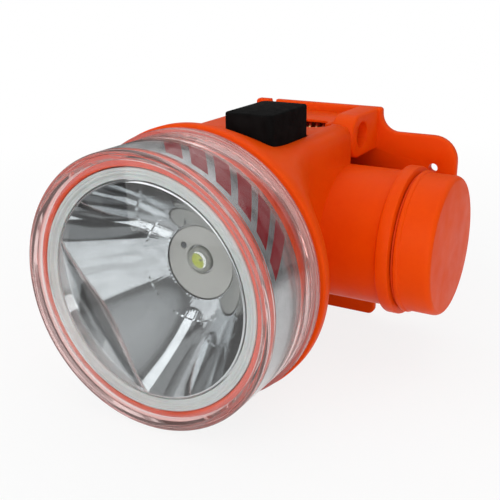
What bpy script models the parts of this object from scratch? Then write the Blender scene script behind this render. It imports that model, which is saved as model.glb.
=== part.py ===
"""A miner's cap lamp: bracket, tilting lamp housing, screw-on clear cap and battery cap.

The frame has its origin on the rear face of the bracket, level with the beam's axis.
The beam leaves along -Y, +X points to the battery cap and +Z is up. Sizes are in
millimetres and are turned into metres where the meshes are made.
"""
import math

import bmesh
import bpy
from mathutils import Matrix, Vector

MM = 0.001
FIT = 0.3                      # clearance between pieces that touch or slide
ROUND_STEPS = 48               # sides of the large turned pieces
SMALL_STEPS = 24               # sides of the small turned pieces

# Clear cap, measured back from its front rim
CAP_R = 35.0                   # outside, at the front rim
CAP_FLANGE_RISE = 1.2          # grip flange at the rear of the cap
CAP_FLANGE_LENGTH = 2.3
CAP_LENGTH = 22.9
CAP_WALL = 1.8
LENS_T = 1.8
LENS_RECESS = 0.5              # the rim stands this far proud of the lens disc
RIM_WIDTH = 1.9
CAP_EDGE = 0.6
NECK_WALL = 1.5                # neck of the housing, inside the clear cap
LEDGE = 1.1                    # step in the neck that carries the reflector
FOIL_T = 0.25
FOIL_START = 4.2
FOIL_WIDTH = 13.3
SEAL_T = 0.7
SEAL_WIDTH = 1.6
RING_RISE = 0.6                # painted ring of the housing, proud of the cap's flange
RING_WIDTH = 2.6

# Reflector and LED
GASKET_T = 1.6
GASKET_WIDTH = 2.8
GASKET_LIP = 0.5
REFLECTOR_T = 1.0
REFLECTOR_LIP_T = 0.5
REFLECTOR_FLANGE_T = 1.0
REFLECTOR_NECK_R = 11.5
REFLECTOR_DEPTH = 28.0
REFLECTOR_RINGS = 8
REFLECTOR_COLLAR = 3.2
REFLECTOR_BOSS_R = 2.6
LED_DISC_T = 1.2
LED_RISE = 1.0                 # the emitter sits this far above the beam's axis
LED_HOLE_R = 4.4
LED_BASE_R = 4.0
LED_BASE_T = 1.9
LED_DOME_R = 2.7
INDICATOR_X = -5.6
INDICATOR_Z = 4.6
INDICATOR_R = 0.9
STAR_R = 10.0
STAR_T = 1.6
SINK_R = 12.5
SINK_T = 5.8
SINK_SCREW_X = 15.8
SINK_EAR_HALF = 3.0
SCREW_R = 1.2
SCREW_HEAD_R = 2.3
SCREW_HEAD_T = 1.6
SCREW_BITE = 0.5               # a screw stops this far short of its hole's end
LEAD_RUN = 6.5                 # free space between the heat sink and the driver board

# Battery and the barrel round it
CELL_R = 16.0
CELL_LENGTH = 70.5
CELL_GAP = 1.0
CELL_NUB_R = 4.0
HOUSING_WALL = 2.4
BARREL_GAP = 0.9               # between the barrel's collar and the bracket's tab
BARREL_LEFT = -38.5
BARREL_EDGE = 1.5
BARREL_Z = -0.4
COLLAR_RISE = 1.7
COLLAR_WIDTH = 3.6
STRIP_T = 0.35
STRIP_WIDTH = 4.0
STRIP_REACH = 2.0              # a contact strip runs this far past its lead

# Battery cap
BATTERY_CAP_RISE = 0.2         # proud of the barrel
BATTERY_CAP_LENGTH = 9.9
BATTERY_RIDGE_RISE = 0.5
BATTERY_RIDGE_WIDTH = 1.4
BATTERY_CAP_EDGE = 1.9
BATTERY_CAP_TAPER = 1.3
BATTERY_CAP_WALL = 2.0
BATTERY_SKIRT = 6.4
BATTERY_SKIRT_WALL = 1.8
BATTERY_SKIRT_GAP = 1.65       # between the skirt and the cell
BATTERY_SEAL_T = 0.5
BATTERY_SEAL_SINK = 0.3        # the seal's rim below the battery cap's
BATTERY_SPRING_R = 10.0
BATTERY_SPRING_TAPER = 4.5
BATTERY_SPRING_WIRE_R = 0.6
BATTERY_SPRING_CURLS = 4

# Body block behind the head
BLOCK_HALF = 22.0
BLOCK_BOTTOM = -19.0
BLOCK_CORNER = 2.5
BLOCK_LENGTH = 22.0            # straight part ahead of the barrel's axis
BLOCK_RINGS = 8
CAVITY_WALL = 3.0              # between the head's cavity and the battery bore

# Tilt hinge and its spring
HINGE_Z = 26.2
EAR_WIDTH = 7.0
LUG_REACH = 12.0               # radius of the lug's rear about the hinge axis
LUG_RISE = 3.8                 # top of the lug above the hinge axis
BLOCK_RISE = 0.3               # top of the block above the lug
BLOCK_SETBACK = 8.0            # rear of the block ahead of the hinge axis
TRUNNION_R = 3.6
TRUNNION_SINK = 2.6            # end of a trunnion inside its ear
PIN_R = 1.5
PIN_RUN = 0.15
PIN_BITE = 2.5                 # the pin's blind end beyond the lug
POCKET_LEFT = -2.0
POCKET_WALL = 1.2
POCKET_LENGTH = 16.0           # ahead of the hinge axis
POCKET_BACK = 4.0              # rear edge of its opening ahead of the hinge axis
POCKET_OVER = 0.5              # right end of the opening beyond the spring's room
POCKET_CORNER = 5.5
POCKET_ROOF = 0.7              # over the spring
POCKET_FLOOR = 4.2             # below the hinge axis
SPRING_WIRE_R = 0.5
SPRING_R = 2.3
SPRING_CURLS = 6
WASHER_T = 0.8

# Bracket
PLATE_T = 3.0
PLATE_RISE = 6.1               # top of the plate above the hinge axis
PLATE_BOTTOM = -36.0
PLATE_FOOT_FLARE = 1.4
PLATE_MARGIN = 1.0             # the plate's middle beyond the right side of the block
PLATE_INSET = 1.5              # and inside the left side of the block
NOTCH_START = 13.3             # small notch in the plate's top, left of the beam's axis
NOTCH_WIDTH = 2.4
NOTCH_DEPTH = 1.1
PLATE_CORNER = 1.0
PLATE_FOOT_CORNER = 2.0
TAB_RIGHT = 47.0
TAB_LEFT = -37.0
TAB_TOP = 25.2
TAB_BOTTOM = -25.2
TAB_CORNER = 7.5
TAB_FILLET = 5.5
FIX_HOLE_R = 1.4
FIX_HOLE_IN = 6.8              # from the end of a tab to its holes
FIX_HOLE_DROP = 9.6            # from the top and bottom of a tab to its holes
EAR_FRONT = 7.5                # ahead of the hinge axis
EAR_BELOW = 6.5                # below the hinge axis
EAR_CORNER = 6.0
LEFT_EAR_WIDTH = 4.2
LEFT_EAR_R = 4.9               # round about the hinge axis
LEFT_TRUNNION_SINK = 1.6

# Push button and switch
BUTTON_X = 10.15
BUTTON_SETBACK = 2.9           # button's centre ahead of the driver board
BUTTON_HALF_X = 6.85
BUTTON_HALF_Y = 10.6
BUTTON_CORNER = 2.0
BUTTON_RISE = 8.3              # above the body block
BUTTON_CROWN = 0.7
BUTTON_EDGE = 0.5
BUTTON_ROOT = 5.7              # the button's foot below the top of the block
BUTTON_TRAVEL = 1.8
BUTTON_GAP = 0.35
BUTTON_FLANGE = 1.0
BUTTON_FLANGE_T = 1.2
STEM_R = 2.2
SWITCH_HALF = 6.0
SWITCH_HEIGHT = 8.6
SWITCH_FRONT = 5.0             # ahead of the button's centre

# Driver board
BOARD_T = 1.6
BOARD_SIDE_GAP = 1.6
BOARD_FOOT_GAP = 4.1
BOARD_STANDOFF = 2.0
BOARD_SCREW_DEPTH = 2.0
BOARD_SCREW_IN = 5.0
BOARD_SCREW_UP = 3.5
BOSS_R = 2.4
CAPACITOR_R = 2.5
CAPACITOR_LENGTH = 4.2
INDUCTOR_R = 3.5
INDUCTOR_BORE_R = 1.2
INDUCTOR_LENGTH = 3.2
PARTS_X = -10.0
PARTS_PITCH = 8.0
LEAD_R = 0.7
LED_LEAD_X = 5.5
LED_LEAD_Z = -5.5

# Places along Y that follow, from the bracket's rear face forward
PLATE_FRONT_Y = -PLATE_T
HINGE_Y = PLATE_FRONT_Y - FIT - LUG_REACH
BATTERY_BORE_R = CELL_R + CELL_GAP
BARREL_R = BATTERY_BORE_R + HOUSING_WALL
COLLAR_R = BARREL_R + COLLAR_RISE
BARREL_Y = PLATE_FRONT_Y - BARREL_GAP - COLLAR_R
BLOCK_REAR_Y = HINGE_Y - BLOCK_SETBACK
SQUARE_Y = BARREL_Y - BLOCK_LENGTH
CAVITY_REAR_Y = BARREL_Y - BATTERY_BORE_R - CAVITY_WALL
BOARD_BACK_Y = CAVITY_REAR_Y - BOARD_STANDOFF - FIT
BOARD_FRONT_Y = BOARD_BACK_Y - BOARD_T
BUTTON_Y = BOARD_FRONT_Y - BUTTON_SETBACK
SINK_BACK_Y = BOARD_FRONT_Y - LEAD_RUN
SINK_FRONT_Y = SINK_BACK_Y - SINK_T
STAR_FRONT_Y = SINK_FRONT_Y - FIT - STAR_T
DISC_FRONT_Y = STAR_FRONT_Y - FIT - LED_DISC_T
THROAT_Y = DISC_FRONT_Y - FIT
MOUTH_Y = THROAT_Y - REFLECTOR_DEPTH
LENS_BACK_Y = MOUTH_Y - FIT - GASKET_LIP
LENS_FRONT_Y = LENS_BACK_Y - LENS_T
FRONT_Y = LENS_FRONT_Y - LENS_RECESS
CAP_REAR_Y = FRONT_Y + CAP_LENGTH
NECK_FRONT_Y = LENS_BACK_Y + FIT
GASKET_FRONT_Y = LENS_BACK_Y + FIT
FLANGE_FRONT_Y = GASKET_FRONT_Y + GASKET_T + FIT
FLANGE_BACK_Y = FLANGE_FRONT_Y + REFLECTOR_FLANGE_T
LEDGE_Y = FLANGE_BACK_Y + FIT
RING_FRONT_Y = CAP_REAR_Y + FIT + SEAL_T + FIT
RING_REAR_Y = RING_FRONT_Y + RING_WIDTH

# Radii of the head that follow, from the outside in
CAP_FLANGE_R = CAP_R + CAP_FLANGE_RISE
RING_R = CAP_FLANGE_R + RING_RISE
CAP_BORE_R = CAP_R - CAP_WALL
FOIL_R = CAP_BORE_R - FIT
NECK_R = FOIL_R - FOIL_T - FIT * 0.8
NECK_BORE_R = NECK_R - NECK_WALL
LEDGE_R = NECK_BORE_R - LEDGE
GASKET_OUTER_R = NECK_BORE_R - FIT
GASKET_INNER_R = GASKET_OUTER_R - GASKET_WIDTH
MOUTH_R = GASKET_INNER_R - FIT - REFLECTOR_LIP_T

# Places along X that follow
CELL_LEFT = BARREL_LEFT + HOUSING_WALL + 3 * FIT + STRIP_T
CELL_RIGHT = CELL_LEFT + CELL_LENGTH
SKIRT_START = CELL_RIGHT + BATTERY_SKIRT_GAP
SKIRT_R = BATTERY_BORE_R - FIT
CAP_START = SKIRT_START + BATTERY_SKIRT
COLLAR_END = CAP_START - 2 * FIT - BATTERY_SEAL_T
COLLAR_START = COLLAR_END - COLLAR_WIDTH
BATTERY_CAP_END = CAP_START + BATTERY_CAP_LENGTH
BATTERY_CAP_R = BARREL_R + BATTERY_CAP_RISE
LUG_HALF = BLOCK_HALF - EAR_WIDTH - FIT
EAR_INNER = LUG_HALF + FIT
POCKET_RIGHT = LUG_HALF - POCKET_WALL
TRUNNION_REACH = BLOCK_HALF - TRUNNION_SINK
LEFT_EAR_OUTER = EAR_INNER + LEFT_EAR_WIDTH
LEFT_TRUNNION_REACH = LEFT_EAR_OUTER - LEFT_TRUNNION_SINK
PIN_END = LUG_HALF + PIN_BITE
BOARD_HALF = BLOCK_HALF - HOUSING_WALL - BOARD_SIDE_GAP
STRIP_FEED_X = BOARD_HALF - LEAD_R - FIT
BOARD_SCREW_X = BOARD_HALF - BOARD_SCREW_IN

# Heights that follow
LUG_TOP = HINGE_Z + LUG_RISE
BLOCK_TOP = LUG_TOP + BLOCK_RISE
PLATE_TOP = HINGE_Z + PLATE_RISE
BUTTON_TOP = BLOCK_TOP + BUTTON_RISE
BUTTON_FOOT = BLOCK_TOP - BUTTON_ROOT
SWITCH_TOP = BUTTON_FOOT - BUTTON_FLANGE_T - BUTTON_TRAVEL - FIT
BOARD_TOP = SWITCH_TOP - FIT
BOARD_BOTTOM = BLOCK_BOTTOM + HOUSING_WALL + BOARD_FOOT_GAP
BOARD_SCREW_Z = BOARD_BOTTOM + BOARD_SCREW_UP
SCREW_HOLE_R = SCREW_R + FIT


# ---------------------------------------------------------------- materials
def material(name, colour, roughness, metallic=0.0, alpha=1.0):
    """Return the named material, made from one Principled shader."""
    found = bpy.data.materials.get(name)
    if found:
        return found
    made = bpy.data.materials.new(name)
    made.use_nodes = True
    shader = made.node_tree.nodes["Principled BSDF"]
    shader.inputs["Base Color"].default_value = (*colour, 1.0)
    shader.inputs["Roughness"].default_value = roughness
    shader.inputs["Metallic"].default_value = metallic
    shader.inputs["Alpha"].default_value = alpha
    made.diffuse_color = (*colour, alpha)
    return made


def orange_abs():
    return material("orange_abs", (0.85, 0.12, 0.01), 0.42)


def clear_polycarbonate():
    return material("clear_polycarbonate", (0.92, 0.95, 0.95), 0.04, alpha=0.35)


def chrome():
    return material("chrome_coating", (0.85, 0.86, 0.88), 0.06, metallic=1.0)


def silver_foil():
    return material("silver_foil", (0.62, 0.62, 0.63), 0.25, metallic=0.9)


def white_silicone():
    return material("white_silicone", (0.78, 0.81, 0.80), 0.55)


def black_rubber():
    return material("black_rubber", (0.018, 0.018, 0.02), 0.7)


def orange_rubber():
    return material("orange_rubber", (0.80, 0.10, 0.01), 0.6)


def white_nylon():
    return material("white_nylon", (0.72, 0.74, 0.73), 0.5)


def aluminium():
    return material("aluminium", (0.70, 0.71, 0.73), 0.3, metallic=1.0)


def steel():
    return material("steel", (0.55, 0.56, 0.58), 0.28, metallic=1.0)


def yellow_zinc():
    return material("yellow_zinc", (0.72, 0.58, 0.25), 0.3, metallic=1.0)


def green_board():
    return material("green_board", (0.02, 0.22, 0.10), 0.5)


def phosphor():
    return material("phosphor", (0.80, 0.85, 0.12), 0.3)


def clear_dome():
    return material("clear_dome", (0.9, 0.92, 0.85), 0.05, alpha=0.4)


def cell_sleeve():
    return material("cell_sleeve", (0.05, 0.22, 0.55), 0.35)


def nickel():
    return material("nickel", (0.66, 0.64, 0.58), 0.3, metallic=1.0)


def black_plastic():
    return material("black_plastic", (0.03, 0.03, 0.03), 0.5)


def red_lead():
    return material("red_lead", (0.6, 0.02, 0.02), 0.5)


def black_lead():
    return material("black_lead", (0.02, 0.02, 0.02), 0.5)


# ---------------------------------------------------------------- mesh tools
def finish(name, mesh_data, look, smooth=True):
    """Turn a bmesh into a named object whose faces point out."""
    bmesh.ops.remove_doubles(mesh_data, verts=mesh_data.verts, dist=1e-6)
    bmesh.ops.recalc_face_normals(mesh_data, faces=mesh_data.faces)
    mesh = bpy.data.meshes.new(name)
    mesh_data.to_mesh(mesh)
    mesh_data.free()
    thing = bpy.data.objects.new(name, mesh)
    bpy.context.scene.collection.objects.link(thing)
    if look:
        mesh.materials.append(look)
    if smooth:
        shade(thing)
    return thing


def shade(thing, degrees=32.0):
    thing.data.shade_smooth()
    thing.data.set_sharp_from_angle(angle=math.radians(degrees))


def combine(target, tool, operation):
    """Apply a Boolean of two objects to the first and remove the second."""
    step = target.modifiers.new(operation.lower(), "BOOLEAN")
    step.operation = operation
    step.solver = "EXACT"
    step.object = tool
    bpy.context.view_layer.update()
    graph = bpy.context.evaluated_depsgraph_get()
    result = bpy.data.meshes.new_from_object(target.evaluated_get(graph))
    target.modifiers.remove(step)
    old = target.data
    target.data = result
    result.name = target.name
    bpy.data.meshes.remove(old)
    bpy.data.objects.remove(tool)
    return target


def join(target, *tools):
    for tool in tools:
        combine(target, tool, "UNION")
    return target


def cut(target, *tools):
    for tool in tools:
        combine(target, tool, "DIFFERENCE")
    return target


AXES = {
    "X": (Vector((1, 0, 0)), Vector((0, 0, 1))),
    "Y": (Vector((0, 1, 0)), Vector((0, 0, 1))),
    "Z": (Vector((0, 0, 1)), Vector((1, 0, 0))),
}


def turned(name, profile, look=None, axis="Y", centre=(0, 0, 0), steps=ROUND_STEPS):
    """Spin a closed profile of (along, radius) points about an axis through centre."""
    along, out = AXES[axis]
    middle = Vector(centre)
    mesh_data = bmesh.new()
    points = [mesh_data.verts.new((middle + along * a + out * r) * MM) for a, r in profile]
    edges = [mesh_data.edges.new((p, q)) for p, q in zip(points, points[1:])]
    if min(profile[0][1], profile[-1][1]) > 0:
        edges.append(mesh_data.edges.new((points[-1], points[0])))
    bmesh.ops.spin(mesh_data, geom=points + edges, cent=middle * MM, axis=along,
                   angle=2 * math.pi, steps=steps, use_merge=True)
    bmesh.ops.dissolve_degenerate(mesh_data, dist=1e-7, edges=mesh_data.edges)
    return finish(name, mesh_data, look)


def rod(name, start, end, radius, look=None, axis="X", centre=(0, 0, 0), steps=SMALL_STEPS):
    """A plain cylinder from start to end along an axis."""
    profile = [(start, 0), (start, radius), (end, radius), (end, 0)]
    return turned(name, profile, look, axis, centre, steps)


def washer(name, start, end, inner, outer, look=None, axis="X", centre=(0, 0, 0), steps=ROUND_STEPS):
    """A ring of rectangular section."""
    profile = [(start, inner), (start, outer), (end, outer), (end, inner)]
    return turned(name, profile, look, axis, centre, steps)


def box(name, low, high, look=None):
    mesh_data = bmesh.new()
    size = [b - a for a, b in zip(low, high)]
    middle = [(a + b) / 2 for a, b in zip(low, high)]
    place = Matrix.Translation(Vector(middle) * MM) @ Matrix.Diagonal((*[s * MM for s in size], 1))
    bmesh.ops.create_cube(mesh_data, size=1.0, matrix=place)
    return finish(name, mesh_data, look, smooth=False)


def loft(name, rings, look=None):
    """Bridge a row of closed rings, all with the same number of points, and cap both ends."""
    mesh_data = bmesh.new()
    loops = []
    for ring in rings:
        points = [mesh_data.verts.new(Vector(p) * MM) for p in ring]
        loops.append([mesh_data.edges.new((a, b)) for a, b in zip(points, points[1:] + points[:1])])
        if len(loops) in (1, len(rings)):
            mesh_data.faces.new(points)
    for near, far in zip(loops, loops[1:]):
        bmesh.ops.bridge_loops(mesh_data, edges=near + far)
    return finish(name, mesh_data, look)


def extruded(name, outline, axis, start, end, look=None):
    """Extrude a closed outline of 2-D points along X, Y or Z."""
    places = {
        "X": lambda a, b, c: (c, a, b),
        "Y": lambda a, b, c: (a, c, b),
        "Z": lambda a, b, c: (a, b, c),
    }
    place = places[axis]
    return loft(name, [[place(a, b, c) for a, b in outline] for c in (start, end)], look)


def corner_arc(centre, radius, start, end, count=6):
    """Points on an arc, by angle in degrees."""
    angles = [math.radians(start + (end - start) * i / count) for i in range(count + 1)]
    return [(centre[0] + radius * math.cos(a), centre[1] + radius * math.sin(a)) for a in angles]


def rounded_rectangle(left, low, right, high, radius, count=4):
    """An anticlockwise outline with round corners."""
    outline = []
    for cx, cy, start in ((right - radius, high - radius, 0), (left + radius, high - radius, 90),
                          (left + radius, low + radius, 180), (right - radius, low + radius, 270)):
        outline += corner_arc((cx, cy), radius, start, start + 90, count)
    return outline


# ---------------------------------------------------------------- bracket
def plate_outline():
    """The plate seen from behind: a tall middle with a tab on each side."""
    def tab(reach, half, foot):
        top = [
            *corner_arc((half + TAB_FILLET, TAB_TOP + TAB_FILLET), TAB_FILLET, 180, 270),
            *corner_arc((reach - TAB_CORNER, TAB_TOP - TAB_CORNER), TAB_CORNER, 90, 0),
        ]
        low = [
            *corner_arc((reach - TAB_CORNER, TAB_BOTTOM + TAB_CORNER), TAB_CORNER, 0, -90),
            *corner_arc((foot + TAB_FILLET, TAB_BOTTOM - TAB_FILLET), TAB_FILLET, 90, 180),
        ]
        return top + low

    def side(reach, half):
        head = corner_arc((half - PLATE_CORNER, PLATE_TOP - PLATE_CORNER), PLATE_CORNER, 90, 0, 3)
        foot_half = BLOCK_HALF + PLATE_FOOT_FLARE
        foot = corner_arc((foot_half - PLATE_FOOT_CORNER, PLATE_BOTTOM + PLATE_FOOT_CORNER),
                          PLATE_FOOT_CORNER, 0, -90, 3)
        return head + tab(reach, half, foot_half) + foot

    right = side(TAB_RIGHT, BLOCK_HALF + PLATE_MARGIN)
    left = side(-TAB_LEFT, BLOCK_HALF - PLATE_INSET)
    low = PLATE_TOP - NOTCH_DEPTH
    notch = [(-NOTCH_START - NOTCH_WIDTH, PLATE_TOP), (-NOTCH_START - NOTCH_WIDTH + 0.3, low),
             (-NOTCH_START - 0.3, low), (-NOTCH_START, PLATE_TOP)]
    return right + [(-x, z) for x, z in reversed(left)] + notch


def ear_outline():
    """One hinge ear in the YZ plane, from the plate's front round the hinge axis."""
    front = HINGE_Y - EAR_FRONT
    low = HINGE_Z - EAR_BELOW
    inside = PLATE_FRONT_Y + PLATE_T / 2
    return [
        (inside, PLATE_TOP),
        *corner_arc((front + EAR_CORNER, PLATE_TOP - EAR_CORNER), EAR_CORNER, 90, 180),
        *corner_arc((front + EAR_CORNER, low + EAR_CORNER), EAR_CORNER, 180, 270),
        (inside, low),
    ]


def left_ear_outline():
    """The left ear in the YZ plane: a round boss on an arm from the plate."""
    inside = PLATE_FRONT_Y + PLATE_T / 2
    return [(inside, HINGE_Z + LEFT_EAR_R), *corner_arc((HINGE_Y, HINGE_Z), LEFT_EAR_R, 90, 270, 12),
            (inside, HINGE_Z - LEFT_EAR_R)]


def make_bracket():
    bracket = extruded("mount_bracket", plate_outline(), "Y", PLATE_FRONT_Y, 0.0, orange_abs())
    join(
        bracket,
        extruded("right_ear", ear_outline(), "X", EAR_INNER, BLOCK_HALF),
        extruded("left_ear", left_ear_outline(), "X", -LEFT_EAR_OUTER, -EAR_INNER),
    )
    hinge = (0, HINGE_Y, HINGE_Z)
    ear_bore = rod("ear_bore", -BLOCK_HALF - 1, BLOCK_HALF + 1, TRUNNION_R + FIT, None, "X", hinge, 32)
    cut(bracket, ear_bore)
    for x in (TAB_RIGHT - FIX_HOLE_IN, TAB_LEFT + FIX_HOLE_IN):
        for z in (TAB_BOTTOM + FIX_HOLE_DROP, TAB_TOP - FIX_HOLE_DROP):
            cut(bracket, rod("hole", PLATE_FRONT_Y - 1, 1, FIX_HOLE_R, None, "Y", (x, 0, z), 16))
    shade(bracket)
    return bracket


# ---------------------------------------------------------------- housing
def blend_ring(y, share, circle_r, half, low, high, corner, count=ROUND_STEPS):
    """A ring that turns from a circle at share 0 into a round-cornered rectangle at share 1."""
    middle = (low + high) / 2
    tall = (high - low) / 2
    ring = []
    for i in range(count):
        angle = 2 * math.pi * (i + 0.5) / count
        c, s = math.cos(angle), math.sin(angle)
        power = 2 + 1.2 * half / corner
        square = (abs(c / half) ** power + abs(s / tall) ** power) ** (-1 / power)
        r = circle_r + (square - circle_r) * share
        ring.append((r * c, y, middle * share + r * s))
    return ring


def blended(name, front, start, square, rear, circle_r, half, low, high, corner):
    """Circle from front to start, a smooth change up to square, then straight to rear."""
    rings = [blend_ring(front, 0, circle_r, half, low, high, corner)]
    for i in range(BLOCK_RINGS + 1):
        t = i / BLOCK_RINGS
        share = math.sin(t * math.pi / 2) ** 1.25
        place = start + (square - start) * t
        rings.append(blend_ring(place, share, circle_r, half, low, high, corner))
    rings.append(blend_ring(rear, 1, circle_r, half, low, high, corner))
    return loft(name, rings)


def lug_outline():
    """The hinge lug in the YZ plane, round about the hinge axis at its rear."""
    top_angle = math.degrees(math.asin(LUG_RISE / LUG_REACH))
    inside = BLOCK_REAR_Y - 3.0
    arc = corner_arc((HINGE_Y, HINGE_Z), LUG_REACH, top_angle, -75, 10)
    low = BARREL_Z + BARREL_R * 0.6
    return [(inside, LUG_TOP), *arc, (HINGE_Y, low), (inside, low)]


def barrel_profile():
    """Outside of the battery barrel, closed on the left, with the collar on the right."""
    edge = BARREL_EDGE
    left = [(BARREL_LEFT + edge * (1 - math.sin(a)), BARREL_R - edge * (1 - math.cos(a)))
            for a in [math.radians(d) for d in (90, 60, 30, 0)]]
    return [
        (BARREL_LEFT, 0), *left, (COLLAR_START - 0.6, BARREL_R), (COLLAR_START, COLLAR_R - 0.3),
        (COLLAR_START + 0.3, COLLAR_R), (COLLAR_END - 0.4, COLLAR_R), (COLLAR_END, COLLAR_R - 0.4),
        (COLLAR_END, 0),
    ]


def make_housing():
    barrel_centre = (0, BARREL_Y, BARREL_Z)
    hinge = (0, HINGE_Y, HINGE_Z)
    housing = blended("lamp_housing", RING_FRONT_Y, RING_REAR_Y, SQUARE_Y, BLOCK_REAR_Y, RING_R,
                      BLOCK_HALF, BLOCK_BOTTOM, BLOCK_TOP, BLOCK_CORNER)
    housing.data.materials.append(orange_abs())
    join(
        housing,
        rod("neck", NECK_FRONT_Y, RING_FRONT_Y + 1, NECK_R, None, "Y", steps=ROUND_STEPS),
        turned("barrel", barrel_profile(), None, "X", barrel_centre),
        extruded("lug", lug_outline(), "X", -LUG_HALF, LUG_HALF),
        rod("trunnions", -LEFT_TRUNNION_REACH, TRUNNION_REACH, TRUNNION_R, None, "X", hinge, 32),
    )
    wall = HOUSING_WALL
    cut(
        housing,
        rod("mouth", NECK_FRONT_Y - 1, LEDGE_Y, NECK_BORE_R, None, "Y", steps=ROUND_STEPS),
        blended("cavity", LEDGE_Y - 1, RING_REAR_Y, SQUARE_Y - wall, CAVITY_REAR_Y, LEDGE_R,
                BLOCK_HALF - wall, BLOCK_BOTTOM + wall, BLOCK_TOP - wall, BLOCK_CORNER),
        rod("battery_bore", BARREL_LEFT + wall, COLLAR_END + 1, BATTERY_BORE_R, None, "X",
            barrel_centre, ROUND_STEPS),
        pocket_opening(),
        spring_room(),
        rod("pin_bore", -LEFT_TRUNNION_REACH - 1, PIN_END + FIT, PIN_R + PIN_RUN, None, "X", hinge),
        button_prism("button_well", BUTTON_GAP, BUTTON_FOOT, BUTTON_TOP),
        button_prism("button_chamber", BUTTON_FLANGE + BUTTON_GAP, SWITCH_TOP, BUTTON_FOOT + FIT),
    )
    for x in (-STRIP_FEED_X, STRIP_FEED_X):
        feed_centre = (x, 0, BARREL_Z)
        cut(housing, rod("lead_hole", CAVITY_REAR_Y - 1, BARREL_Y, LEAD_R + FIT, None, "Y", feed_centre, 16))
    for x in (-BOARD_SCREW_X, BOARD_SCREW_X):
        boss_centre = (x, 0, BOARD_SCREW_Z)
        join(housing, rod("boss", CAVITY_REAR_Y - BOARD_STANDOFF, CAVITY_REAR_Y + 1, BOSS_R, None, "Y",
                          boss_centre, SMALL_STEPS))
        mouth = CAVITY_REAR_Y - BOARD_STANDOFF - 1
        cut(housing, rod("screw_hole", mouth, CAVITY_REAR_Y + BOARD_SCREW_DEPTH, SCREW_HOLE_R, None, "Y",
                         boss_centre, 16))
    shade(housing)
    return housing


def pocket_opening():
    """The round-ended opening in the top, ahead of the hinge spring."""
    outline = rounded_rectangle(POCKET_LEFT, HINGE_Y - POCKET_LENGTH, POCKET_RIGHT + POCKET_OVER,
                                HINGE_Y - POCKET_BACK, POCKET_CORNER, 6)
    return extruded("opening", outline, "Z", HINGE_Z - POCKET_FLOOR, LUG_TOP + 2)


def spring_room():
    """The room round the hinge spring, under a thin roof."""
    rear = HINGE_Y + SPRING_R + SPRING_WIRE_R + 2 * FIT
    return box("spring_room", (POCKET_LEFT, HINGE_Y - POCKET_BACK - 1.0, HINGE_Z - POCKET_FLOOR),
               (POCKET_RIGHT, rear, LUG_TOP - POCKET_ROOF))


def make_hinge_pin():
    hinge = (0, HINGE_Y, HINGE_Z)
    return rod("hinge_pin", -LEFT_TRUNNION_REACH + 1.0, PIN_END, PIN_R, steel(), "X", hinge)


def make_washer():
    hinge = (0, HINGE_Y, HINGE_Z)
    start = POCKET_RIGHT - FIT - WASHER_T
    return washer("friction_washer", start, start + WASHER_T, PIN_R + FIT, SPRING_R + SPRING_WIRE_R,
                  yellow_zinc(), "X", hinge, SMALL_STEPS)


def helix_points(start, end, radius, curls, per_curl=10, taper=0.0):
    """Points of a coil about the X axis, with its first and last half turn closed flat."""
    count = round(curls * per_curl)
    points = []
    for i in range(count + 1):
        turn = i / per_curl
        t = i / count
        angle = 2 * math.pi * turn
        r = radius - taper * t
        points.append((start + (end - start) * t, r * math.cos(angle), r * math.sin(angle)))
    return points


def least_self_gap(points, wire_r, per_curl=10):
    """Smallest clear distance between turns of a coil, measured on its points."""
    least = math.inf
    for i, p in enumerate(points):
        for q in points[i + per_curl // 2:]:
            least = min(least, (Vector(p) - Vector(q)).length - 2 * wire_r)
    return least


def make_coil(name, start, end, radius, curls, wire_r, look, centre, taper=0.0):
    """One unbroken wire wound about an X axis, as a bevelled curve with filled ends."""
    points = helix_points(start, end, radius, curls, taper=taper)
    curve = bpy.data.curves.new(name, "CURVE")
    curve.dimensions = "3D"
    curve.bevel_depth = wire_r * MM
    curve.bevel_resolution = 1
    curve.use_fill_caps = True
    spline = curve.splines.new("POLY")
    spline.points.add(len(points) - 1)
    for knot, (x, y, z) in zip(spline.points, points):
        knot.co = ((x + centre[0]) * MM, (y + centre[1]) * MM, (z + centre[2]) * MM, 1.0)
    curve.materials.append(look)
    coil = bpy.data.objects.new(name, curve)
    bpy.context.scene.collection.objects.link(coil)
    print(f"{name}: least gap to itself {least_self_gap(points, wire_r):.2f} mm")
    return coil


def make_tilt_spring():
    start = POCKET_LEFT + FIT + SPRING_WIRE_R
    end = POCKET_RIGHT - 2 * FIT - WASHER_T - SPRING_WIRE_R
    return make_coil("tilt_spring", start, end, SPRING_R, SPRING_CURLS, SPRING_WIRE_R, yellow_zinc(),
                     (0, HINGE_Y, HINGE_Z))


# ---------------------------------------------------------------- clear cap and what it holds
def make_lens_cap():
    flange_y = CAP_REAR_Y - CAP_FLANGE_LENGTH
    edge = CAP_EDGE
    profile = [
        (LENS_FRONT_Y, 0), (LENS_FRONT_Y, CAP_R - RIM_WIDTH - LENS_RECESS),
        (FRONT_Y, CAP_R - RIM_WIDTH), (FRONT_Y, CAP_R - edge), (FRONT_Y + edge * 0.3, CAP_R - edge * 0.3),
        (FRONT_Y + edge, CAP_R), (flange_y - edge, CAP_R), (flange_y, CAP_FLANGE_R - edge * 0.5),
        (flange_y + edge * 0.5, CAP_FLANGE_R), (CAP_REAR_Y - edge * 0.5, CAP_FLANGE_R),
        (CAP_REAR_Y, CAP_FLANGE_R - edge * 0.5), (CAP_REAR_Y, CAP_BORE_R),
        (LENS_BACK_Y, CAP_BORE_R), (LENS_BACK_Y, 0),
    ]
    return turned("lens_cap", profile, clear_polycarbonate())


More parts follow.
